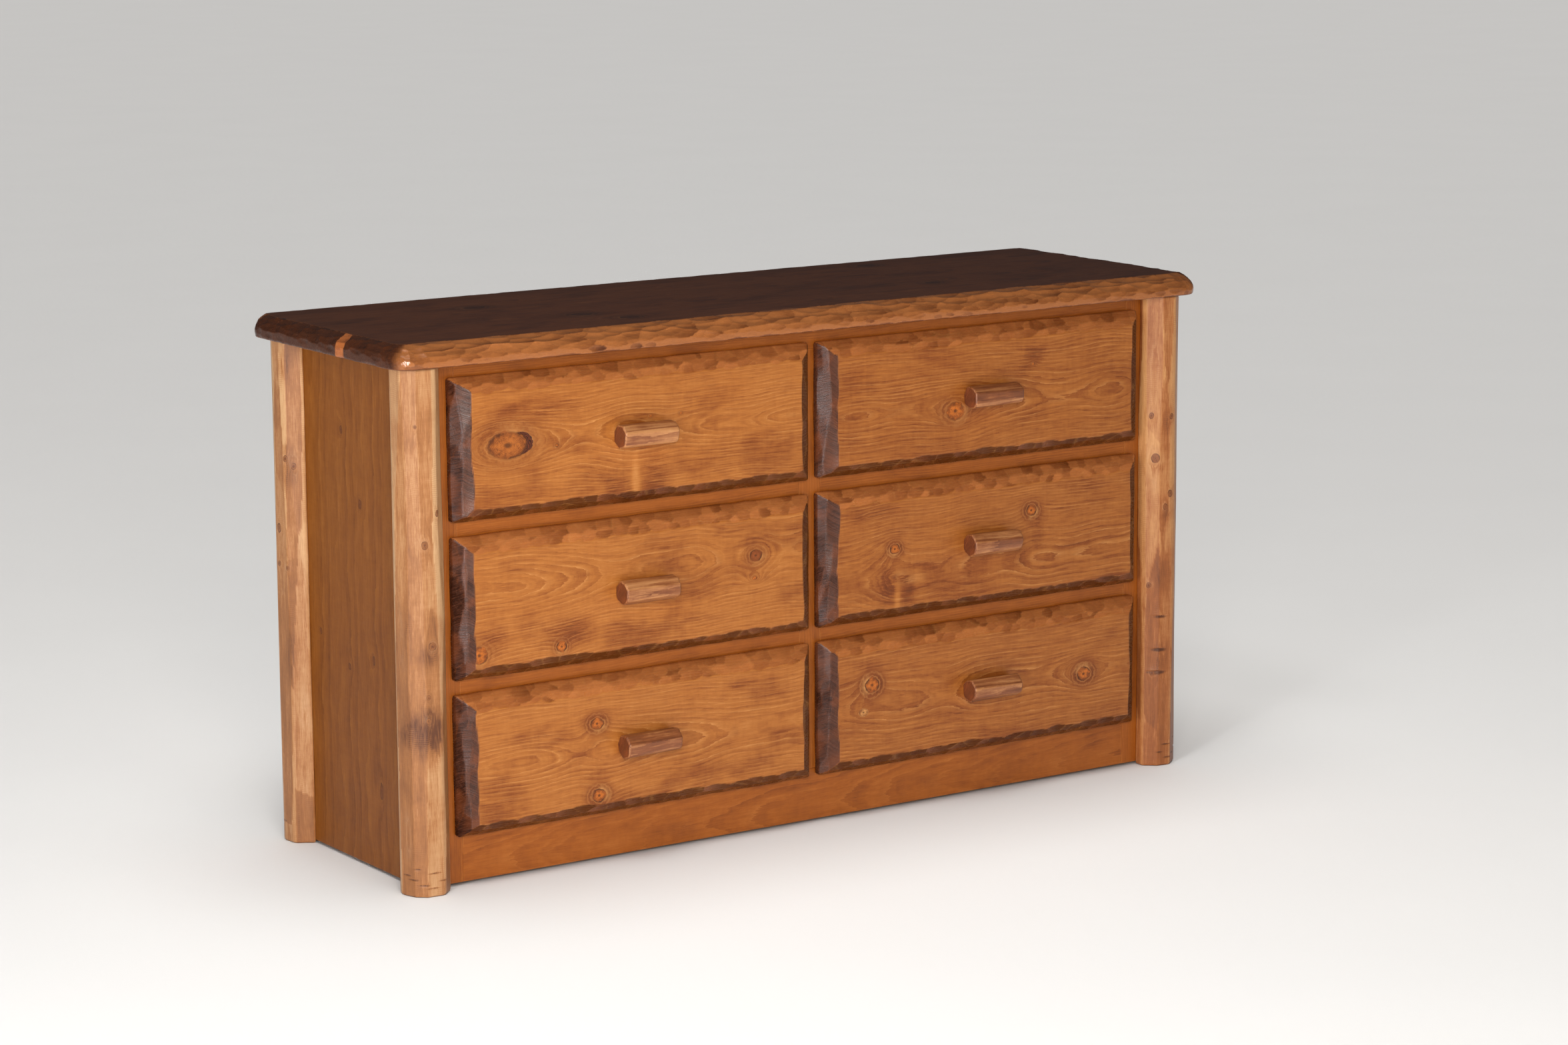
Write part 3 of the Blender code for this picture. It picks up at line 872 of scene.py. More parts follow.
def log_pull(name, node, rng):
    """A short peeled log, a little thicker at one end, flat along its back."""
    low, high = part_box(node)
    length = (high.x - low.x) / MM
    radius = (high.z - low.z) / 2 / MM
    centre_z = (low.z + high.z) / 2
    flat = (high.y - low.y) / MM - radius
    centre_y = high.y - flat * MM
    steps = 72
    turn = np.linspace(0.0, 2 * math.pi, steps, endpoint=False)
    inner = np.linspace(3.4, length - 3.4, 30)
    near = [0.0, 0.0, 0.5, 1.2, 2.2]
    xs = np.concatenate([near, inner, length - np.array(near[::-1])])
    t, x = np.meshgrid(turn, xs)
    r, chop = log_radius(rng, t, x, length, radius * 1.03, 7, 170.0, 0.095)
    taper = rng.uniform(0.02, 0.07)
    r = r * (1.0 - taper * x / length)
    ease = np.minimum(x, length - x)
    r = r - 2.2 * np.clip(1.0 - ease / 3.0, 0.0, 1.0) ** 1.8
    r[0] -= 1.2
    r[-1] -= 1.2
    tilt = rng.uniform(-0.012, 0.012)
    y = np.minimum(r * np.sin(t), flat)
    z = r * np.cos(t) + (x - length / 2) * tilt
    points = np.stack([low.x + x * MM, centre_y + y * MM, centre_z + z * MM], -1)
    faces = ring_faces(len(xs), steps)
    end = np.zeros(x.shape)
    end[:2] = end[-2:] = 1.0
    hewn = np.zeros(x.size)
    values = {"hewn": hewn, "end": end.ravel(), "chop": chop.ravel()}
    return add_piece(name, points.reshape(-1, 3), faces, values)


# ------------------------------------------------------------------ the top slab

CORE_IN = 24.0
CORE_UP = 12.0
TOP_IN = 46.0
# The edge's convex outline, front, ends and back: for a slope that leans back from upright
# by so many degrees, the point it touches, as mm in from the edge and up from the underside.
SLAB_LEANS = (-45.0, 0.0, 24.0, 46.0, 66.0, 78.0)
SLAB_TOUCH = (
    ((0.8, 1.8), (0.6, 9.0), (2.0, 13.5), (8.5, 20.5), (24.0, 31.2), (34.0, 34.2)),
    ((0.8, 1.8), (0.5, 10.0), (1.6, 17.0), (6.5, 24.5), (15.0, 31.5), (23.0, 34.2)),
    ((0.6, 1.4), (0.3, 12.0), (1.0, 22.0), (3.0, 28.5), (7.0, 33.0), (10.0, 34.4)),
)
LONG_LEANS = (-42.0, 2.0, 22.0, 42.0, 58.0, 70.0)
FACET_LEANS = (-42.0, -16.0, 0.0, 14.0, 28.0, 42.0, 54.0, 66.0)
# Facets at the front corners that all lie nearly one way, and so shine together: how far
# round from the front and how far back from upright they face, in degrees, the half width of
# the arc they cover, and the share of each one's own direction that is kept.
STRUCK_ROUND = 27.0
STRUCK_LEAN = 10.0
STRUCK_ARC = 15.0
STRUCK_OWN = 0.4
# The edge's cross-section before it is cut, as mm in from the edge and up from the underside.
SLAB_RIM = (
    [(inset, 0.0) for inset in (24.0, 14.0, 7.0, 3.5)]
    + [(0.0, up) for up in np.arange(0.0, 35.0, 1.4)]
    + [(inset, 35.0) for inset in np.arange(0.0, 46.1, 2.0)]
)


def slab_loop(inset, low_x, high_x, low_y, high_y):
    """Points and outward directions round the slab at an inset, in mm, front corner first."""
    front = max(36.0 - inset, 3.0)
    rear = max(27.0 - inset, 2.0)
    x0, x1 = low_x + inset, high_x - inset
    y0, y1 = low_y + inset, high_y - inset
    corners = (
        (x0, y0, front, 180.0, (1, 1), 44),
        (x1, y0, front, 270.0, (-1, 1), 44),
        (x1, y1, rear, 0.0, (-1, -1), 18),
        (x0, y1, rear, 90.0, (1, -1), 18),
    )
    runs = (760, 170, 190, 170)
    points, normals = [], []
    for k, (cx, cy, radius, start, inward, arc_steps) in enumerate(corners):
        angle = np.radians(start + np.linspace(0.0, 90.0, arc_steps))
        out = np.stack([np.cos(angle), np.sin(angle)], -1)
        middle = np.array([cx + inward[0] * radius, cy + inward[1] * radius])
        arc = middle + out * radius
        points.append(arc)
        normals.append(out)
        nx, ny, next_radius, next_start, next_in, _ = corners[(k + 1) % 4]
        begin = np.radians(next_start)
        target = np.array([nx + next_in[0] * next_radius, ny + next_in[1] * next_radius])
        target = target + next_radius * np.array([math.cos(begin), math.sin(begin)])
        share = np.linspace(0.0, 1.0, runs[k] + 1)[1:-1, None]
        points.append(arc[-1] + (target - arc[-1]) * share)
        normals.append(np.repeat(out[-1:], len(share), axis=0))
    return np.concatenate(points), np.concatenate(normals)


def slab_touch(weight, lean):
    """Where on the edge's outline a face with this lean touches, in and up in mm."""
    touch = np.zeros(2)
    for share, points in zip(weight, SLAB_TOUCH):
        for axis in (0, 1):
            touch[axis] += share * np.interp(lean, SLAB_LEANS, [p[axis] for p in points])
    return touch


def nearest_gap(places, targets, around):
    """How far each place round a loop is from the nearest of the targets."""
    gaps = (places[:, None] - targets[None, :] + around / 2) % around - around / 2
    return np.abs(gaps).min(axis=1)


def slab_chops(rng, around, s, turning):
    """Places and leans of the strokes round the slab: long on the runs, small at corners."""
    chops = []
    kinds = ((LONG_LEANS, (20.0, 38.0), False), (FACET_LEANS, (7.0, 9.0), True))
    for levels, step, small in kinds:
        for level in levels:
            at = rng.uniform(0.0, step[1])
            while at < around:
                if turning[np.searchsorted(s, at) % len(s)] == small:
                    lean = level + rng.uniform(-1.0, 1.0) * (3.0 if small else 9.0)
                    chops.append((at, lean, small))
                at += rng.uniform(*step)
    return chops


def hewn_slab(name, node, rng):
    """The top: a flat face, and a convex edge hewn in overlapping leaf-shaped strokes."""
    low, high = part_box(node)
    bounds = (low.x / MM, high.x / MM, low.y / MM, high.y / MM)
    thick = (high.z - low.z) / MM
    outer, out = slab_loop(0.0, *bounds)
    core, _ = slab_loop(CORE_IN, *bounds)
    inner, _ = slab_loop(TOP_IN, *bounds)
    count = len(outer)
    run = np.linalg.norm(np.roll(outer, -1, axis=0) - outer, axis=1)
    s = np.concatenate([[0.0], np.cumsum(run)[:-1]])
    around = run.sum()
    bend = np.linalg.norm(np.roll(out, -1, axis=0) - np.roll(out, 1, axis=0), axis=1) > 1e-6
    turning = nearest_gap(s, s[bend], around) < 4.0
    weights = np.stack(
        [np.clip(-out[:, 1], 0, 1) ** 2, out[:, 0] ** 2, np.clip(out[:, 1], 0, 1) ** 2], -1
    )
    rim_in = np.array([p[0] for p in SLAB_RIM])
    rim_up = np.array([p[1] for p in SLAB_RIM]) * thick / 35.0
    near = np.clip(rim_in / CORE_IN, 0.0, 1.0)[None, :, None]
    far = np.clip((rim_in - CORE_IN) / (TOP_IN - CORE_IN), 0.0, 1.0)[None, :, None]
    flat = outer[:, None] * (1 - near) + core[:, None] * near
    flat = flat * (1 - far) + inner[:, None] * far
    rim = np.concatenate([flat, np.broadcast_to(rim_up[None, :, None], (*flat.shape[:2], 1))], 2)
    heart = np.concatenate([core, np.full((count, 1), CORE_UP)], 1)[:, None]
    share = np.ones(rim.shape[:2])
    second = np.ones(rim.shape[:2])
    tone = np.zeros(rim.shape[:2])
    for at, lean, small in slab_chops(rng, around, s, turning):
        here = int(np.searchsorted(s, at)) % count
        inset, up = slab_touch(weights[here], lean)
        slope = math.radians(lean + rng.uniform(-1.0, 1.0) * (1.5 if small else 3.0))
        facing = out[here]
        round_at = math.degrees(math.atan2(abs(facing[0]), -facing[1]))
        struck = small and -8.0 < lean < 19.0 and abs(round_at - STRUCK_ROUND) < STRUCK_ARC
        if struck:
            slope = math.radians(STRUCK_LEAN + STRUCK_OWN * (lean - STRUCK_LEAN))
            turned = math.radians(STRUCK_ROUND + STRUCK_OWN * (round_at - STRUCK_ROUND))
            facing = np.array([math.copysign(math.sin(turned), facing[0]), -math.cos(turned)])
        normal = np.array([*(facing * math.cos(slope)), math.sin(slope)])
        sideways = np.array([-facing[1], facing[0], 0.0])
        upward = np.cross(sideways, normal)
        upward = upward if upward[2] > 0 else -upward
        anchor = np.array([*(outer[here] - facing * inset), up])
        wander = 0.01 if struck else 0.09 if small else 0.05
        normal = normal + sideways * rng.uniform(-1.0, 1.0) * wander
        lift = rng.uniform(0.0, 0.20) if small else rng.uniform(0.0, 1.3)
        bow = 0.003 if struck else 0.008 if small else rng.uniform(0.0022, 0.0055)
        hollow = bow if small else 0.0170
        turn = rng.uniform(0.15, 0.42) * (0.0 if small else 1.0)
        reach = 30.0 if small else 80.0
        gap = np.abs((s - s[here] + around / 2) % around - around / 2)
        idx = np.nonzero(gap < reach)[0]
        offset = rim[idx] - anchor
        a, b = offset @ sideways, offset @ upward
        along = a * math.cos(turn) + b * math.sin(turn)
        cut = lift + bow * along**2 + hollow * b**2
        ray = rim[idx] - heart[idx]
        toward = ray @ normal
        limit = ((anchor - heart[idx]) @ normal + cut) / np.maximum(toward, 1e-3)
        limit = np.where(toward > 1e-3, np.maximum(limit, 0.05), 9.0)
        # Each long stroke is painted darker towards one end and lighter towards its upper side:
        # painted shade for the lit and shaded parts of a leaf.
        leaf = np.clip(along / 16.0, -1.0, 1.0) - np.clip(b / 7.0, -1.0, 1.0) * 0.6
        shade = rng.uniform(0.15, 0.75) + (0.0 if small else 0.36) * leaf
        # Down-facing strokes are painted darker and up-leaning ones lighter: painted shade and
        # light for how the edge faces the lamps.
        shade = shade + (0.10 if lean < 0 else -0.004 * lean)
        if struck:
            shade = np.full(b.shape, -1.0)
        cut_here = deeper((share[idx], second[idx], tone[idx]), (limit, 9.0, shade))
        share[idx], second[idx], tone[idx] = cut_here
    points = heart + (rim - heart) * share[..., None]
    points = points.transpose(1, 0, 2).reshape(-1, 3) * MM + np.array([0.0, 0.0, low.z])
    faces = ring_faces(len(SLAB_RIM), count)
    on_side = (rim_in < 0.5) & (rim_up > 0.5)
    hewn = ((share < 0.9998) | on_side[None]) & (rim_up[None] > 0.5)
    end = hewn * np.clip(out[:, :1] ** 2 * 2.2 - 1.0, 0.0, 1.0)
    ridge = ridge_of(share, second, 0.012) * hewn
    values = {"hewn": hewn * 1.0, "end": end, "chop": tone, "ridge": ridge}
    values = {mark: value.T.ravel() for mark, value in values.items()}
    return add_piece(name, points, faces, values)


# ------------------------------------------------------------------ sawn boards


def eased_board(node, width):
    """The CAD board with its sharp edges eased."""
    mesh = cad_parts[node].data.copy()
    bm = bmesh.new()
    bm.from_mesh(mesh)
    bmesh.ops.remove_doubles(bm, verts=bm.verts, dist=1e-6)
    bmesh.ops.dissolve_limit(
        bm, angle_limit=math.radians(1), verts=bm.verts, edges=bm.edges
    )
    sharp = [e for e in bm.edges if len(e.link_faces) == 2 and e.calc_face_angle(0) > 0.3]
    bmesh.ops.bevel(
        bm, geom=sharp, offset=width, segments=2, profile=0.5, affect="EDGES",
        clamp_overlap=True,
    )
    bm.to_mesh(mesh)
    bm.free()
    mesh.shade_flat()
    piece = bpy.data.objects.new(node + "_board", mesh)
    bpy.context.scene.collection.objects.link(piece)
    for end, corner in zip(("low_", "high_"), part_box(node)):
        for axis, value in zip("xyz", corner):
            piece[end + axis] = value / MM
    return piece


# ------------------------------------------------------------------ screws


def screw_head(name, x, y, z):
    """A domed head with a cross recess, seated at (x, y, z) and facing the back."""
    radii = np.array([0.0, 0.4, 0.8, 1.2, 1.6, 2.0, 2.6, 3.2, 3.7, 4.0, 4.0])
    rise = np.array([2.1, 2.09, 2.05, 2.0, 1.92, 1.82, 1.6, 1.25, 0.85, 0.45, 0.0])
    turn = np.linspace(0.0, 2 * math.pi, 48, endpoint=False)
    t, r = np.meshgrid(turn, radii)
    across = np.minimum(np.abs(r * np.cos(t)), np.abs(r * np.sin(t)))
    inside = np.clip((0.62 - across) / 0.25, 0.0, 1.0) * np.clip((2.3 - r) / 0.3, 0.0, 1.0)
    lift = rise[:, None] - 1.1 * inside
    points = np.stack([x + r * np.cos(t) * MM, y + lift * MM, z + r * np.sin(t) * MM], -1)
    faces = ring_faces(len(radii), len(turn), capped=False)
    return add_piece(name, points.reshape(-1, 3), faces)


def steel(tree):
    """Zinc-plated steel: dull patches, fine turning marks and scuffs."""
    x, y, z = place(tree)
    patch = noise(vector(tree, x, y, z), 3.0, 3.0)
    scuff = noise(vector(tree, x * 0.3, y, z), 0.5, 2.0)
    tone = mixed(srgb(150, 148, 142), srgb(196, 192, 180), patch)
    return tone, scuff * 0.06, 0.30 + patch * 0.22


# ------------------------------------------------------------------ knots and stain


def knot(u, v, ru, rv, pull=2.0, **more):
    """A knot at a place on a board, with its half sizes; small ones are the more ragged."""
    more.setdefault("ragged", 1.0 if ru > 20 else 1.6)
    return dict(u=u, v=v, ru=ru, rv=rv, pull=pull, **more)


def log_knot(height, angle, ru, rv, **more):
    """A knot on a post, at a height and a direction from the post's centre."""
    return knot(height, angle, ru, rv, halo=0.12, ragged=2.4, tone=srgb(122, 70, 40), **more)


# The keys of a look, with lengths in mm:
#   pith_v, pith_w, lean   where the heart of the tree runs, across and behind the face, and
#                          how much nearer it comes along the board
#   spacing, sway, swell   width of a growth ring, and how far rings stray across and inwards
#   knots                  each a knot() on the board, or a log_knot() on a post
#   clouds                 patches of stain: place along and across (round a log, a direction
#                          in degrees), half length, half width and depth, negative for pale
#   contrast, lines, streaks, flow, mottle   strengths of parts of the figure, and dim, a darkening of the whole piece, partly painted shade on the right-hand fronts, pulls and front post
FRONT_LOOKS = {
    "top_left": dict(
        pith_v=4.0, pith_w=30.0, lean=-0.050, spacing=4.6,
        knots=(
            knot(
                -235, 3, 33, 20, crack=1.0, pull=15.0, reach=0.70, rim=0.75, halo=0.45,
                tone=srgb(184, 104, 40),
            ),
            knot(-150, -5, 3.4, 2.6, pull=2.2),
            knot(17, 24, 2.6, 1.8, pull=0.8),
            knot(72, 24, 2.4, 1.8, pull=0.8),
        ),
        clouds=(
            (-44, -92, 30, 46, 0.75), (24, -92, 30, 52, 0.85), (-11, -74, 8, 40, -0.75),
            (-12, -101, 20, 9, 1.3), (-170, 55, 80, 22, 0.45), (-262, 30, 26, 12, 0.6),
        ),
    ),
    "top_right": dict(
        pith_v=-14.0, pith_w=34.0, lean=0.035, spacing=4.8,
        knots=(
            knot(-66, -22, 17, 14, pull=9.0, reach=0.62, rim=0.5, halo=0.5),
            knot(92, 42, 3.0, 2.0, pull=2.5),
        ),
        clouds=((96, 58, 26, 16, 0.55), (60, 36, 60, 12, 0.25)),
    ),
    "middle_left": dict(
        pith_v=30.0, pith_w=46.0, lean=0.05, spacing=4.4,
        knots=(
            knot(209, 27, 11, 9, pull=6.0, rim=0.9, tone=srgb(150, 76, 30)),
            knot(-291, -70, 14, 13, pull=4.5, rim=0.6, halo=0.4),
            knot(-147, -74, 8.5, 8.5, pull=3.4, rim=1.0),
            knot(207, -9, 5.0, 3.0, pull=6.0, rim=0.2, halo=0.2, reach=0.5),
        ),
        clouds=((-130, -52, 40, 24, 0.8), (-265, -50, 26, 26, 0.55), (215, 50, 30, 14, 0.5)),
    ),
    "middle_right": dict(
        pith_v=-40.0, pith_w=50.0, lean=-0.035, spacing=5.0,
        knots=(
            knot(90, 41, 10, 9, pull=4.5, rim=1.0, halo=0.9),
            knot(-186, 7, 9, 8, pull=5.0, rim=1.0, halo=0.9),
        ),
        clouds=(
            (-200, -50, 20, 34, 0.7), (-160, -64, 16, 30, 0.6), (-181, -72, 7, 30, -0.6),
            (-240, 72, 60, 14, 0.4), (100, 30, 22, 18, 0.5), (104, -2, 14, 20, 0.4),
        ),
    ),
    "bottom_left": dict(
        pith_v=-6.0, pith_w=36.0, lean=0.045, spacing=4.8,
        knots=(
            knot(-86, 39, 11, 9, pull=5.5, rim=0.9, halo=0.9),
            knot(-84, -75, 12, 10, pull=4.5, rim=0.9, halo=0.9),
        ),
        clouds=((-86, 48, 34, 14, 0.45), (-40, -86, 40, 14, 0.5)),
    ),
    "bottom_right": dict(
        pith_v=0.0, pith_w=40.0, lean=-0.04, spacing=5.2,
        knots=(
            knot(-231, 31, 13, 12, pull=5.0, rim=0.9, halo=1.0),
            knot(202, -7, 13, 11, pull=6.5, rim=0.9, halo=1.0),
            knot(-248, -12, 10, 7, pull=1.5, rim=0.0, halo=0.0, tone=HONEY["pale"]),
        ),
        clouds=((-228, 60, 24, 14, 0.4), (202, 14, 30, 10, 0.4)),
    ),
}

POST_LOOKS = {
    "front_left": dict(
        knots=(
            log_knot(540, -103, 6, 5, rim=0.9, pull=2.5),
            log_knot(386, -89, 6, 6, rim=0.9, pull=2.5),
            log_knot(309, -102, 4, 4, rim=0.5),
            log_knot(273, -103, 5, 4, rim=0.7),
            log_knot(718, -120, 3, 2.5, rim=0.7, pull=1.0),
            log_knot(586, -68, 5, 4, rim=1.0),
        ),
        clouds=(
            (520, -135, 60, 16, 0.40), (372, -98, 22, 18, 0.75), (252, -104, 44, 26, 1.15),
            (420, -150, 60, 10, 0.4), (250, -165, 26, 14, 0.5), (560, -95, 40, 8, 0.3),
            (268, -140, 20, 12, 0.5), (262, -70, 26, 12, 0.6),
        ),
    ),
    "front_right": dict(
        # Painted shade: this post is darkened for the light falling off to the right.
        dim=0.10,
        gouges=((205, -112, 17.0), (166, -118, 19.0), (262, -108, 15.0)),
        knots=(
            log_knot(603, -140, 5, 4, rim=1.1),
            log_knot(601, -84, 5, 4, rim=1.1),
            log_knot(531, -128, 8, 7, rim=0.9, pull=3.0),
            log_knot(470, -85, 6, 5, rim=1.1),
            log_knot(448, -100, 5, 4, rim=1.1),
            log_knot(314, -142, 5, 4, rim=0.8),
            log_knot(162, -130, 4, 4, rim=0.8),
        ),
        clouds=(
            (590, -95, 26, 12, 0.45), (515, -125, 14, 12, 0.5), (330, -110, 40, 20, 0.3),
            # Thin dark lines just under the three gouges: painted shadow under their lips.
            (202, -112, 3.0, 12, 2.2), (163, -118, 3.2, 14, 2.4), (259, -108, 2.6, 11, 1.8),
            (190, -100, 30, 18, 0.4), (440, -95, 26, 12, 0.6), (620, -95, 60, 10, 0.3),
        ),
    ),
    "back_left": dict(
        dim=0.10,
        knots=(
            log_knot(618, -148, 5, 4, rim=1.0),
            log_knot(606, -128, 5, 4, rim=1.0),
            log_knot(506, 180, 7, 5, rim=1.1, pull=2.5),
            log_knot(449, 176, 4, 4, rim=1.0),
            log_knot(444, -151, 4, 3, rim=0.8),
            log_knot(560, 120, 6, 5, rim=0.9),
        ),
        clouds=((768, -150, 30, 14, 0.8), (600, -140, 40, 16, 0.5), (300, -150, 50, 16, 0.4)),
    ),
    "back_right": dict(
        knots=(
            log_knot(650, 20, 5, 4, rim=1.0),
            log_knot(430, 60, 6, 5, rim=1.0),
            log_knot(300, 5, 5, 4, rim=0.9),
            log_knot(180, 100, 6, 5, rim=0.9, pull=2.5),
        ),
        clouds=((500, 30, 50, 18, 0.6), (240, 10, 34, 16, 0.8)),
    ),
}


def panel_knot(u, v, ru, rv, **more):
    """A small dull knot on a side panel, at a height and a place along its depth."""
    return knot(u, v, ru, rv, halo=0.3, ragged=2.0, tone=srgb(120, 66, 32), **more)


PANEL_KNOTS = (
    panel_knot(679, 46, 6, 4, rim=0.9),
    panel_knot(571, -10, 7, 5, rim=0.5),
    panel_knot(350, 129, 5, 4, rim=0.7),
    panel_knot(310, 36, 5, 4, rim=0.9),
    panel_knot(333, -43, 7, 4, rim=0.8),
    panel_knot(131, -58, 13, 5, rim=0.7, pull=3.0),
)

SLAB_KNOTS = (
    knot(-443, 100, 17, 12, pull=7.0, rim=0.9, halo=0.9, tone=SLAB["deep"]),
    knot(-348, -68, 16, 13, pull=7.0, rim=0.9, halo=0.9, tone=SLAB["deep"]),
    knot(-304, -139, 15, 12, pull=6.0, rim=0.9, halo=0.9, tone=SLAB["deep"]),
    knot(369, 183, 16, 12, pull=6.0, rim=0.9, halo=0.8, tone=SLAB["deep"]),
    knot(325, -69, 13, 11, pull=6.0, rim=0.9, halo=0.8, tone=SLAB["deep"]),
)


# ------------------------------------------------------------------ build the dresser

rng = np.random.default_rng(20)


def build_fronts():
    """The six drawer fronts, painted darker in the right column as painted shade for the light
    falling off to the right.
    """
    for key in DRAWERS:
        row, column = key.split("_")
        node = "drawer_" + key + "_front"
        low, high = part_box(node)
        look = dict(FRONT_LOOKS[key], dim=0.05)
        if column == "right":
            # Painted shade: the right column is darkened for the light falling off to the right.
            look.update(dim=0.31, mottle=0.36)
        look["centre"] = ((low.x + high.x) / 2, low.y, (low.z + high.z) / 2)
        material = board_material("front_" + key, "x", HONEY, look, hewn=True)
        piece = hewn_front("hewn_front_" + key, low, high, rng)
        seed = 1.0 + len(key) + 3.7 * ROWS.index(row)
        enter(piece, "drawer_" + key, "drawer_front", material, seed, node)


def on_log(angle, side):
    """A direction from a post's centre, turned to the way its own mesh counts."""
    return angle if side < 0 else 180.0 - angle


def build_posts():
    """The four corner posts. The right one in front is of a more amber log, and is also painted
    darker as painted shade for the light falling off to the right.
    """
    for depth_name, back in (("front", 1), ("back", -1)):
        for column, side in SIDES.items():
            key = depth_name + "_" + column
            node = "post_" + key
            low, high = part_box(node)
            look = dict(POST_LOOKS[key], round=True, spacing=2.8, contrast=0.22, lines=0.3)
            look.update(ragged=0.5, chop=0.80, foot_dim=0.42, mottle=0.35, streaks=0.7, flow=0.6)
            look["chatter"] = True
            # Each nick also gets a thin dark line: painted shade in the cut.
            for height, angle, half in NICKS:
                facing = on_log(math.degrees(angle) * back, side)
                look["clouds"] = (*look["clouds"], (height, facing, 1.4, half * 62.0, 1.2))
            look["centre"] = ((low.x + high.x) / 2, (low.y + high.y) / 2, 0.0)
            bumps = []
            for spot in look["knots"]:
                bumps.append((spot["u"], on_log(spot["v"], side) * back, 1.4 * spot["rv"]))
            gouges = [(h, on_log(v, side) * back, half) for h, v, half in look.get("gouges", ())]
            tones = AMBER_LOG if key == "front_right" else LOG
            material = board_material("log_" + key, "z", tones, look, hewn=True)
            piece = log_post("peeled_post_" + key, node, side, back, rng, bumps, gouges)
            enter(piece, "carcass", "log_post", material, 2.0 + len(key) * 0.7 + side, node)


# How much darker than its plain wood each pull is painted: each pull's own stain, and in the right
# column partly painted shade for the light falling off to the right.
PULL_DIMS = {
    "top_left": -0.12, "middle_left": -0.04, "bottom_left": 0.42,
    "top_right": 0.34, "middle_right": 0.24, "bottom_right": 0.16,
}


def build_pulls():
    """The six log pulls."""
    for key in DRAWERS:
        row, column = key.split("_")
        node = "drawer_" + key + "_pull"
        low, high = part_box(node)
        look = dict(round=True, spacing=2.2, contrast=0.8, lines=0.35, ragged=0.5, chop=0.6)
        look.update(streaks=1.9, dim=PULL_DIMS[key])
        look["centre"] = (low.x, (low.y + high.y) / 2 + 0.012, (low.z + high.z) / 2)
        material = board_material("pull_" + key, "x", PULL, look, hewn=True, specular=0.5)
        piece = log_pull("peeled_pull_" + key, node, rng)
        seed = 0.6 * ROWS.index(row) + (0.31 if column == "left" else 2.2)
        enter(piece, "drawer_" + key, "log_pull", material, seed, node)


def build_slab():
    """The top, glued up from planks; one strip of sapwood shows at its ends."""
    look = dict(
        flat="xy", plank=92.0, pith_v=8.0, pith_w=34.0, spacing=4.0, sway=16.0, contrast=0.5,
        lines=0.35,
    )
    look["centre"] = (0.0, 0.0, SLAB_TOP)
    look["knots"] = SLAB_KNOTS
    look["end_strip"] = (-52.6, 13.0)
    look["dull_ends"] = 0.6
    material = board_material("hewn_top", "x", SLAB, look, hewn=True, specular=0.4)
    piece = hewn_slab("hewn_top_slab", "top_slab", rng)
    enter(piece, "carcass", "top_slab", material, 3.3, "top_slab")


def build_boards():
    """Frame, panels, divider, runners and drawer boxes."""
    straight = dict(
        pith_v=95.0, pith_w=60.0, spacing=3.6, sway=14.0, swell=12.0, contrast=0.4, lines=0.3
    )
    curly = dict(
        straight, pith_v=26.0, pith_w=30.0, lean=0.03, swell=6.0, sway=20.0, contrast=0.52,
        lines=0.4,
    )
    rail = board_material("rail_pine", "x", FRAME, curly)
    stile = board_material("stile_pine", "z", FRAME, straight)
    side_look = dict(
        straight, flat="yz", knots=PANEL_KNOTS, plank=88.0, pith_v=70.0, pith_w=40.0, sway=7.0,
        spacing=3.2, swell=5.0, lean=0.002, wander=0.35, contrast=0.36, mottle=0.25,
        plank_tone=0.12, foot_dim=0.26, streaks=0.6, flow=1.0,
    )
    panel = board_material("panel_pine", "z", PANEL, side_look, specular=0.14)
    raw_look = dict(pith_v=70.0, pith_w=70.0, spacing=3.4, contrast=0.35, lines=0.15)
    raw_x = board_material("raw_pine_across", "x", RAW, raw_look)
    raw_y = board_material("raw_pine_along", "y", RAW, dict(raw_look, pith_v=30.0))
    ply_look = dict(raw_look, pith_v=10.0, pith_w=200.0, spacing=6.0)
    ply = board_material("ply", "x", RAW, ply_look)
    back_look = dict(raw_look, pith_v=10.0, pith_w=160.0)
    back_ply = board_material("back_ply", "z", PANEL, back_look)
    # What a node's name begins or ends with: its slot, material and eased edge in metres.
    kinds = {
        "rail": ("case_pine", rail, 0.0004),
        "stile": ("case_pine", stile, 0.0004),
        "side_panel": ("case_pine", panel, 0.0008),
        "centre_divider": ("case_pine", raw_x, 0.0006),
        "back_panel": ("back_panel", back_ply, 0.0006),
        "runner": ("runner", raw_y, 0.0012),
    }
    box_kinds = {
        "_side_left": ("drawer_box", raw_y, 0.0009),
        "_side_right": ("drawer_box", raw_y, 0.0009),
        "_back": ("drawer_box", raw_x, 0.0009),
        "_bottom": ("drawer_bottom", ply, 0.0004),
    }
    number = 0
    for node in sorted(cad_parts):
        if node.startswith("drawer"):
            body = "_".join(node.split("_")[:3])
            found = [kind for ending, kind in box_kinds.items() if node.endswith(ending)]
        else:
            body = "carcass"
            found = [kind for start, kind in kinds.items() if node.startswith(start)]
        for slot, material, width in found:
            enter(eased_board(node, width), body, slot, material, 0.37 * number, node)
            number += 1


def build_screws():
    """Two screws through each front into its pull; their heads show inside the drawer."""
    metal = finished("zinc_steel", steel, specular=0.6)
    metal.node_tree.nodes["Principled BSDF"].inputs["Metallic"].default_value = 1.0
    for key in DRAWERS:
        low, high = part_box("drawer_" + key + "_pull")
        middle = (low + high) / 2
        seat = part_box("drawer_" + key + "_front")[1].y
        for number, offset in enumerate((-0.032, 0.032)):
            name = "pull_screw_" + key + "_" + str(number + 1)
            piece = screw_head(name, middle.x + offset, seat, middle.z)
            enter(piece, "drawer_" + key, "screw_steel", metal, 0.4 * number)


# ------------------------------------------------------------------ stage


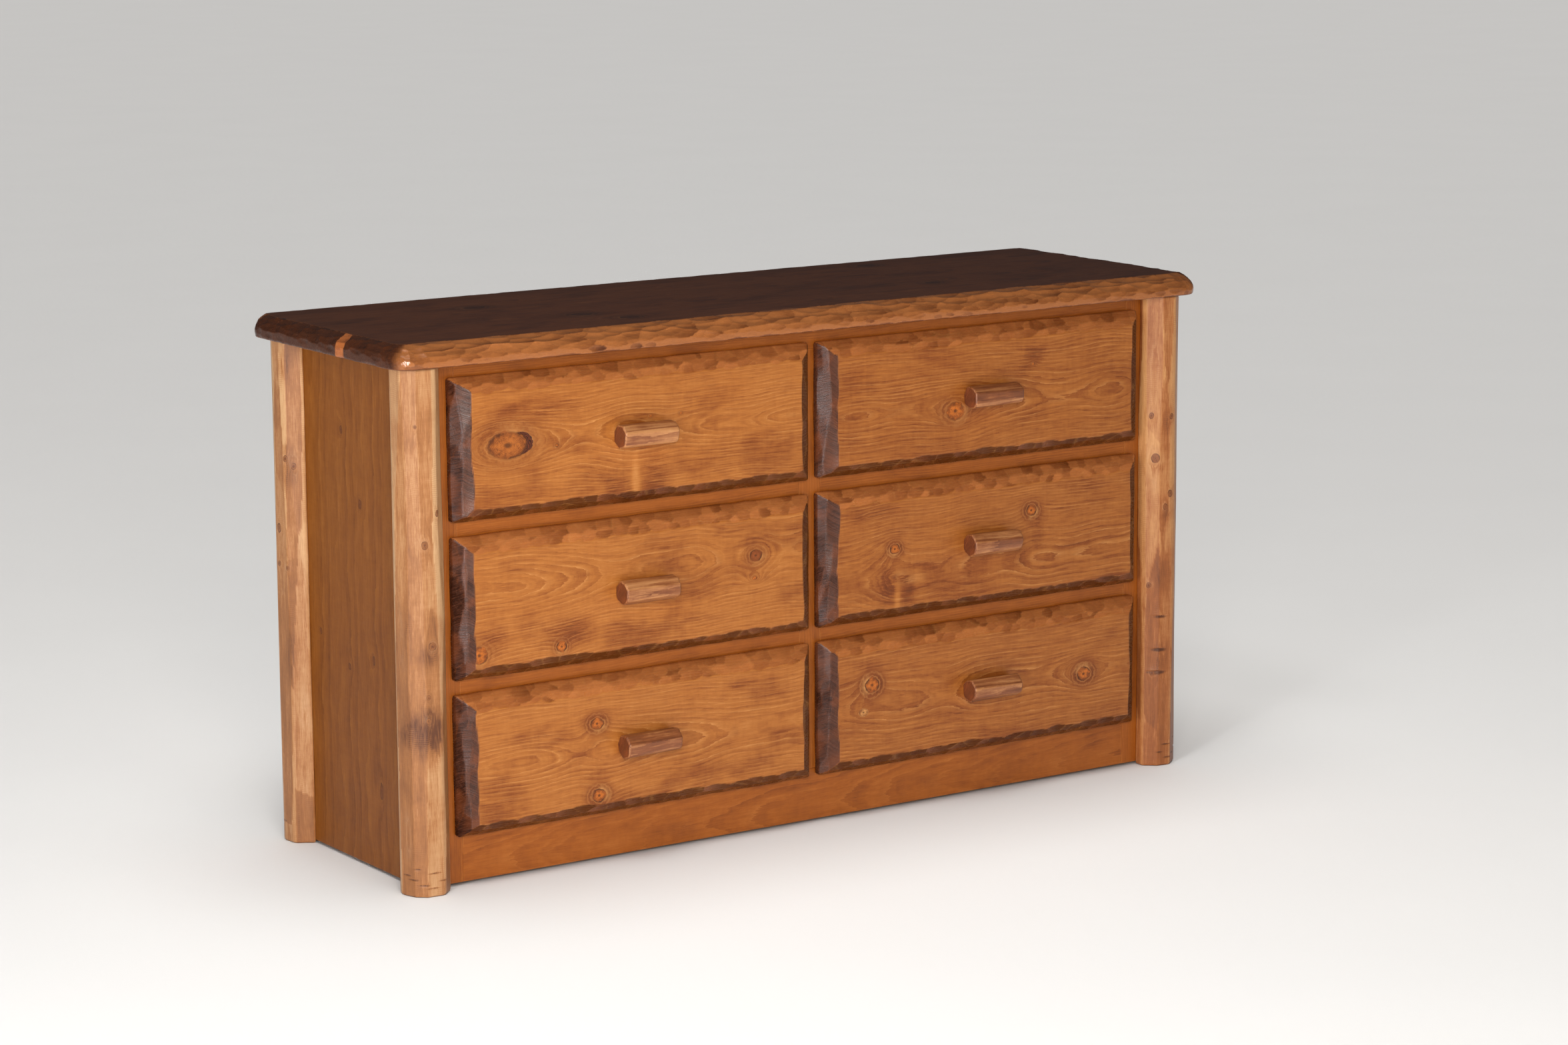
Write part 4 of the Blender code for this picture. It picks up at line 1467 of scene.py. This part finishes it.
def build_floor():
    """A pale floor, with a lamp of its own."""
    bm = bmesh.new()
    bmesh.ops.create_grid(bm, x_segments=8, y_segments=8, size=45.0)
    mesh = bpy.data.meshes.new("studio_floor")
    bm.to_mesh(mesh)
    bm.free()
    floor = bpy.data.objects.new("studio_floor", mesh)
    bpy.context.scene.collection.objects.link(floor)

    def build(tree):
        x, y, z = place(tree)
        cloud = noise(vector(tree, x, y, z), 420.0, 3.0)
        speck = noise(vector(tree, x, y, z), 9.0, 2.0)
        tone = mixed(srgb(210, 208, 205), srgb(213, 211, 208), cloud)
        return tone, speck * 0.05, 0.72 + speck * 0.1

    mesh.materials.append(finished("floor_paint", build, specular=0.2))

    # This lamp lights the floor alone, and keeps it evenly pale.
    data = bpy.data.lights.new("floor_wash", "SUN")
    data.energy = 2.6
    data.angle = math.radians(50)
    wash = bpy.data.objects.new("floor_wash", data)
    bpy.context.scene.collection.objects.link(wash)
    lit = bpy.data.collections.new("lit_floor")
    lit.objects.link(floor)
    wash.light_linking.receiver_collection = lit


def area_light(name, spot, target, size, power, colour):
    """A soft box of a lamp that faces its target."""
    data = bpy.data.lights.new(name, "AREA")
    data.shape = "RECTANGLE"
    data.size, data.size_y = size
    data.energy = power
    data.color = colour
    lamp = bpy.data.objects.new(name, data)
    lamp.location = spot
    aim = Vector(target) - Vector(spot)
    lamp.rotation_euler = aim.to_track_quat("-Z", "Y").to_euler()
    bpy.context.scene.collection.objects.link(lamp)


def build_lights():
    """A key lamp from the left, two weaker ones, and a plain grey surround."""
    middle = (0.0, FACE_Y, 0.42)
    area_light("key", (-2.4, -3.9, 1.75), middle, (1.1, 2.0), 124.0, (1.0, 0.97, 0.93))
    area_light("side", (-3.9, -2.6, 1.0), middle, (0.5, 1.9), 52.0, (0.92, 0.95, 1.0))
    area_light("over", (-0.9, -0.9, 3.0), middle, (0.8, 0.6), 10.0, (0.95, 0.97, 1.0))
    world = bpy.data.worlds.new("studio")
    bpy.context.scene.world = world
    world.use_nodes = True
    tree = world.node_tree
    sky = tree.nodes["Background"]
    seen = tree.nodes.new("ShaderNodeLightPath").outputs["Is Camera Ray"]
    tone = mixed((0.07, 0.07, 0.073, 1.0), (0.60, 0.60, 0.60, 1.0), Field(tree, seen))
    plug(tree, sky.inputs["Color"], tone)
    bpy.context.scene.view_settings.view_transform = "Standard"


def build_camera():
    """The photograph's viewpoint: 34 degrees round to the left and 11 degrees down."""
    yaw, pitch, roll = [math.radians(value) for value in (34.055, -10.567, -0.30)]
    forward = Vector(
        (math.sin(yaw) * math.cos(pitch), math.cos(yaw) * math.cos(pitch), math.sin(pitch))
    )
    level = Vector((math.cos(yaw), -math.sin(yaw), 0.0))
    upright = level.cross(forward)
    right = level * math.cos(roll) + upright * math.sin(roll)
    up = upright * math.cos(roll) - level * math.sin(roll)
    data = bpy.data.cameras.new("camera")
    data.sensor_width = 36.0
    data.lens = 91.03
    data.clip_end = 60.0
    camera = bpy.data.objects.new("camera", data)
    turn = Matrix((right, up, -forward)).transposed().to_4x4()
    camera.matrix_world = Matrix.Translation((-3.501, FACE_Y - 5.108, 1.647)) @ turn
    bpy.context.scene.collection.objects.link(camera)
    bpy.context.scene.camera = camera


build_camera()
build_floor()
build_lights()
build_fronts()
build_posts()
build_pulls()
build_slab()
build_boards()
build_screws()
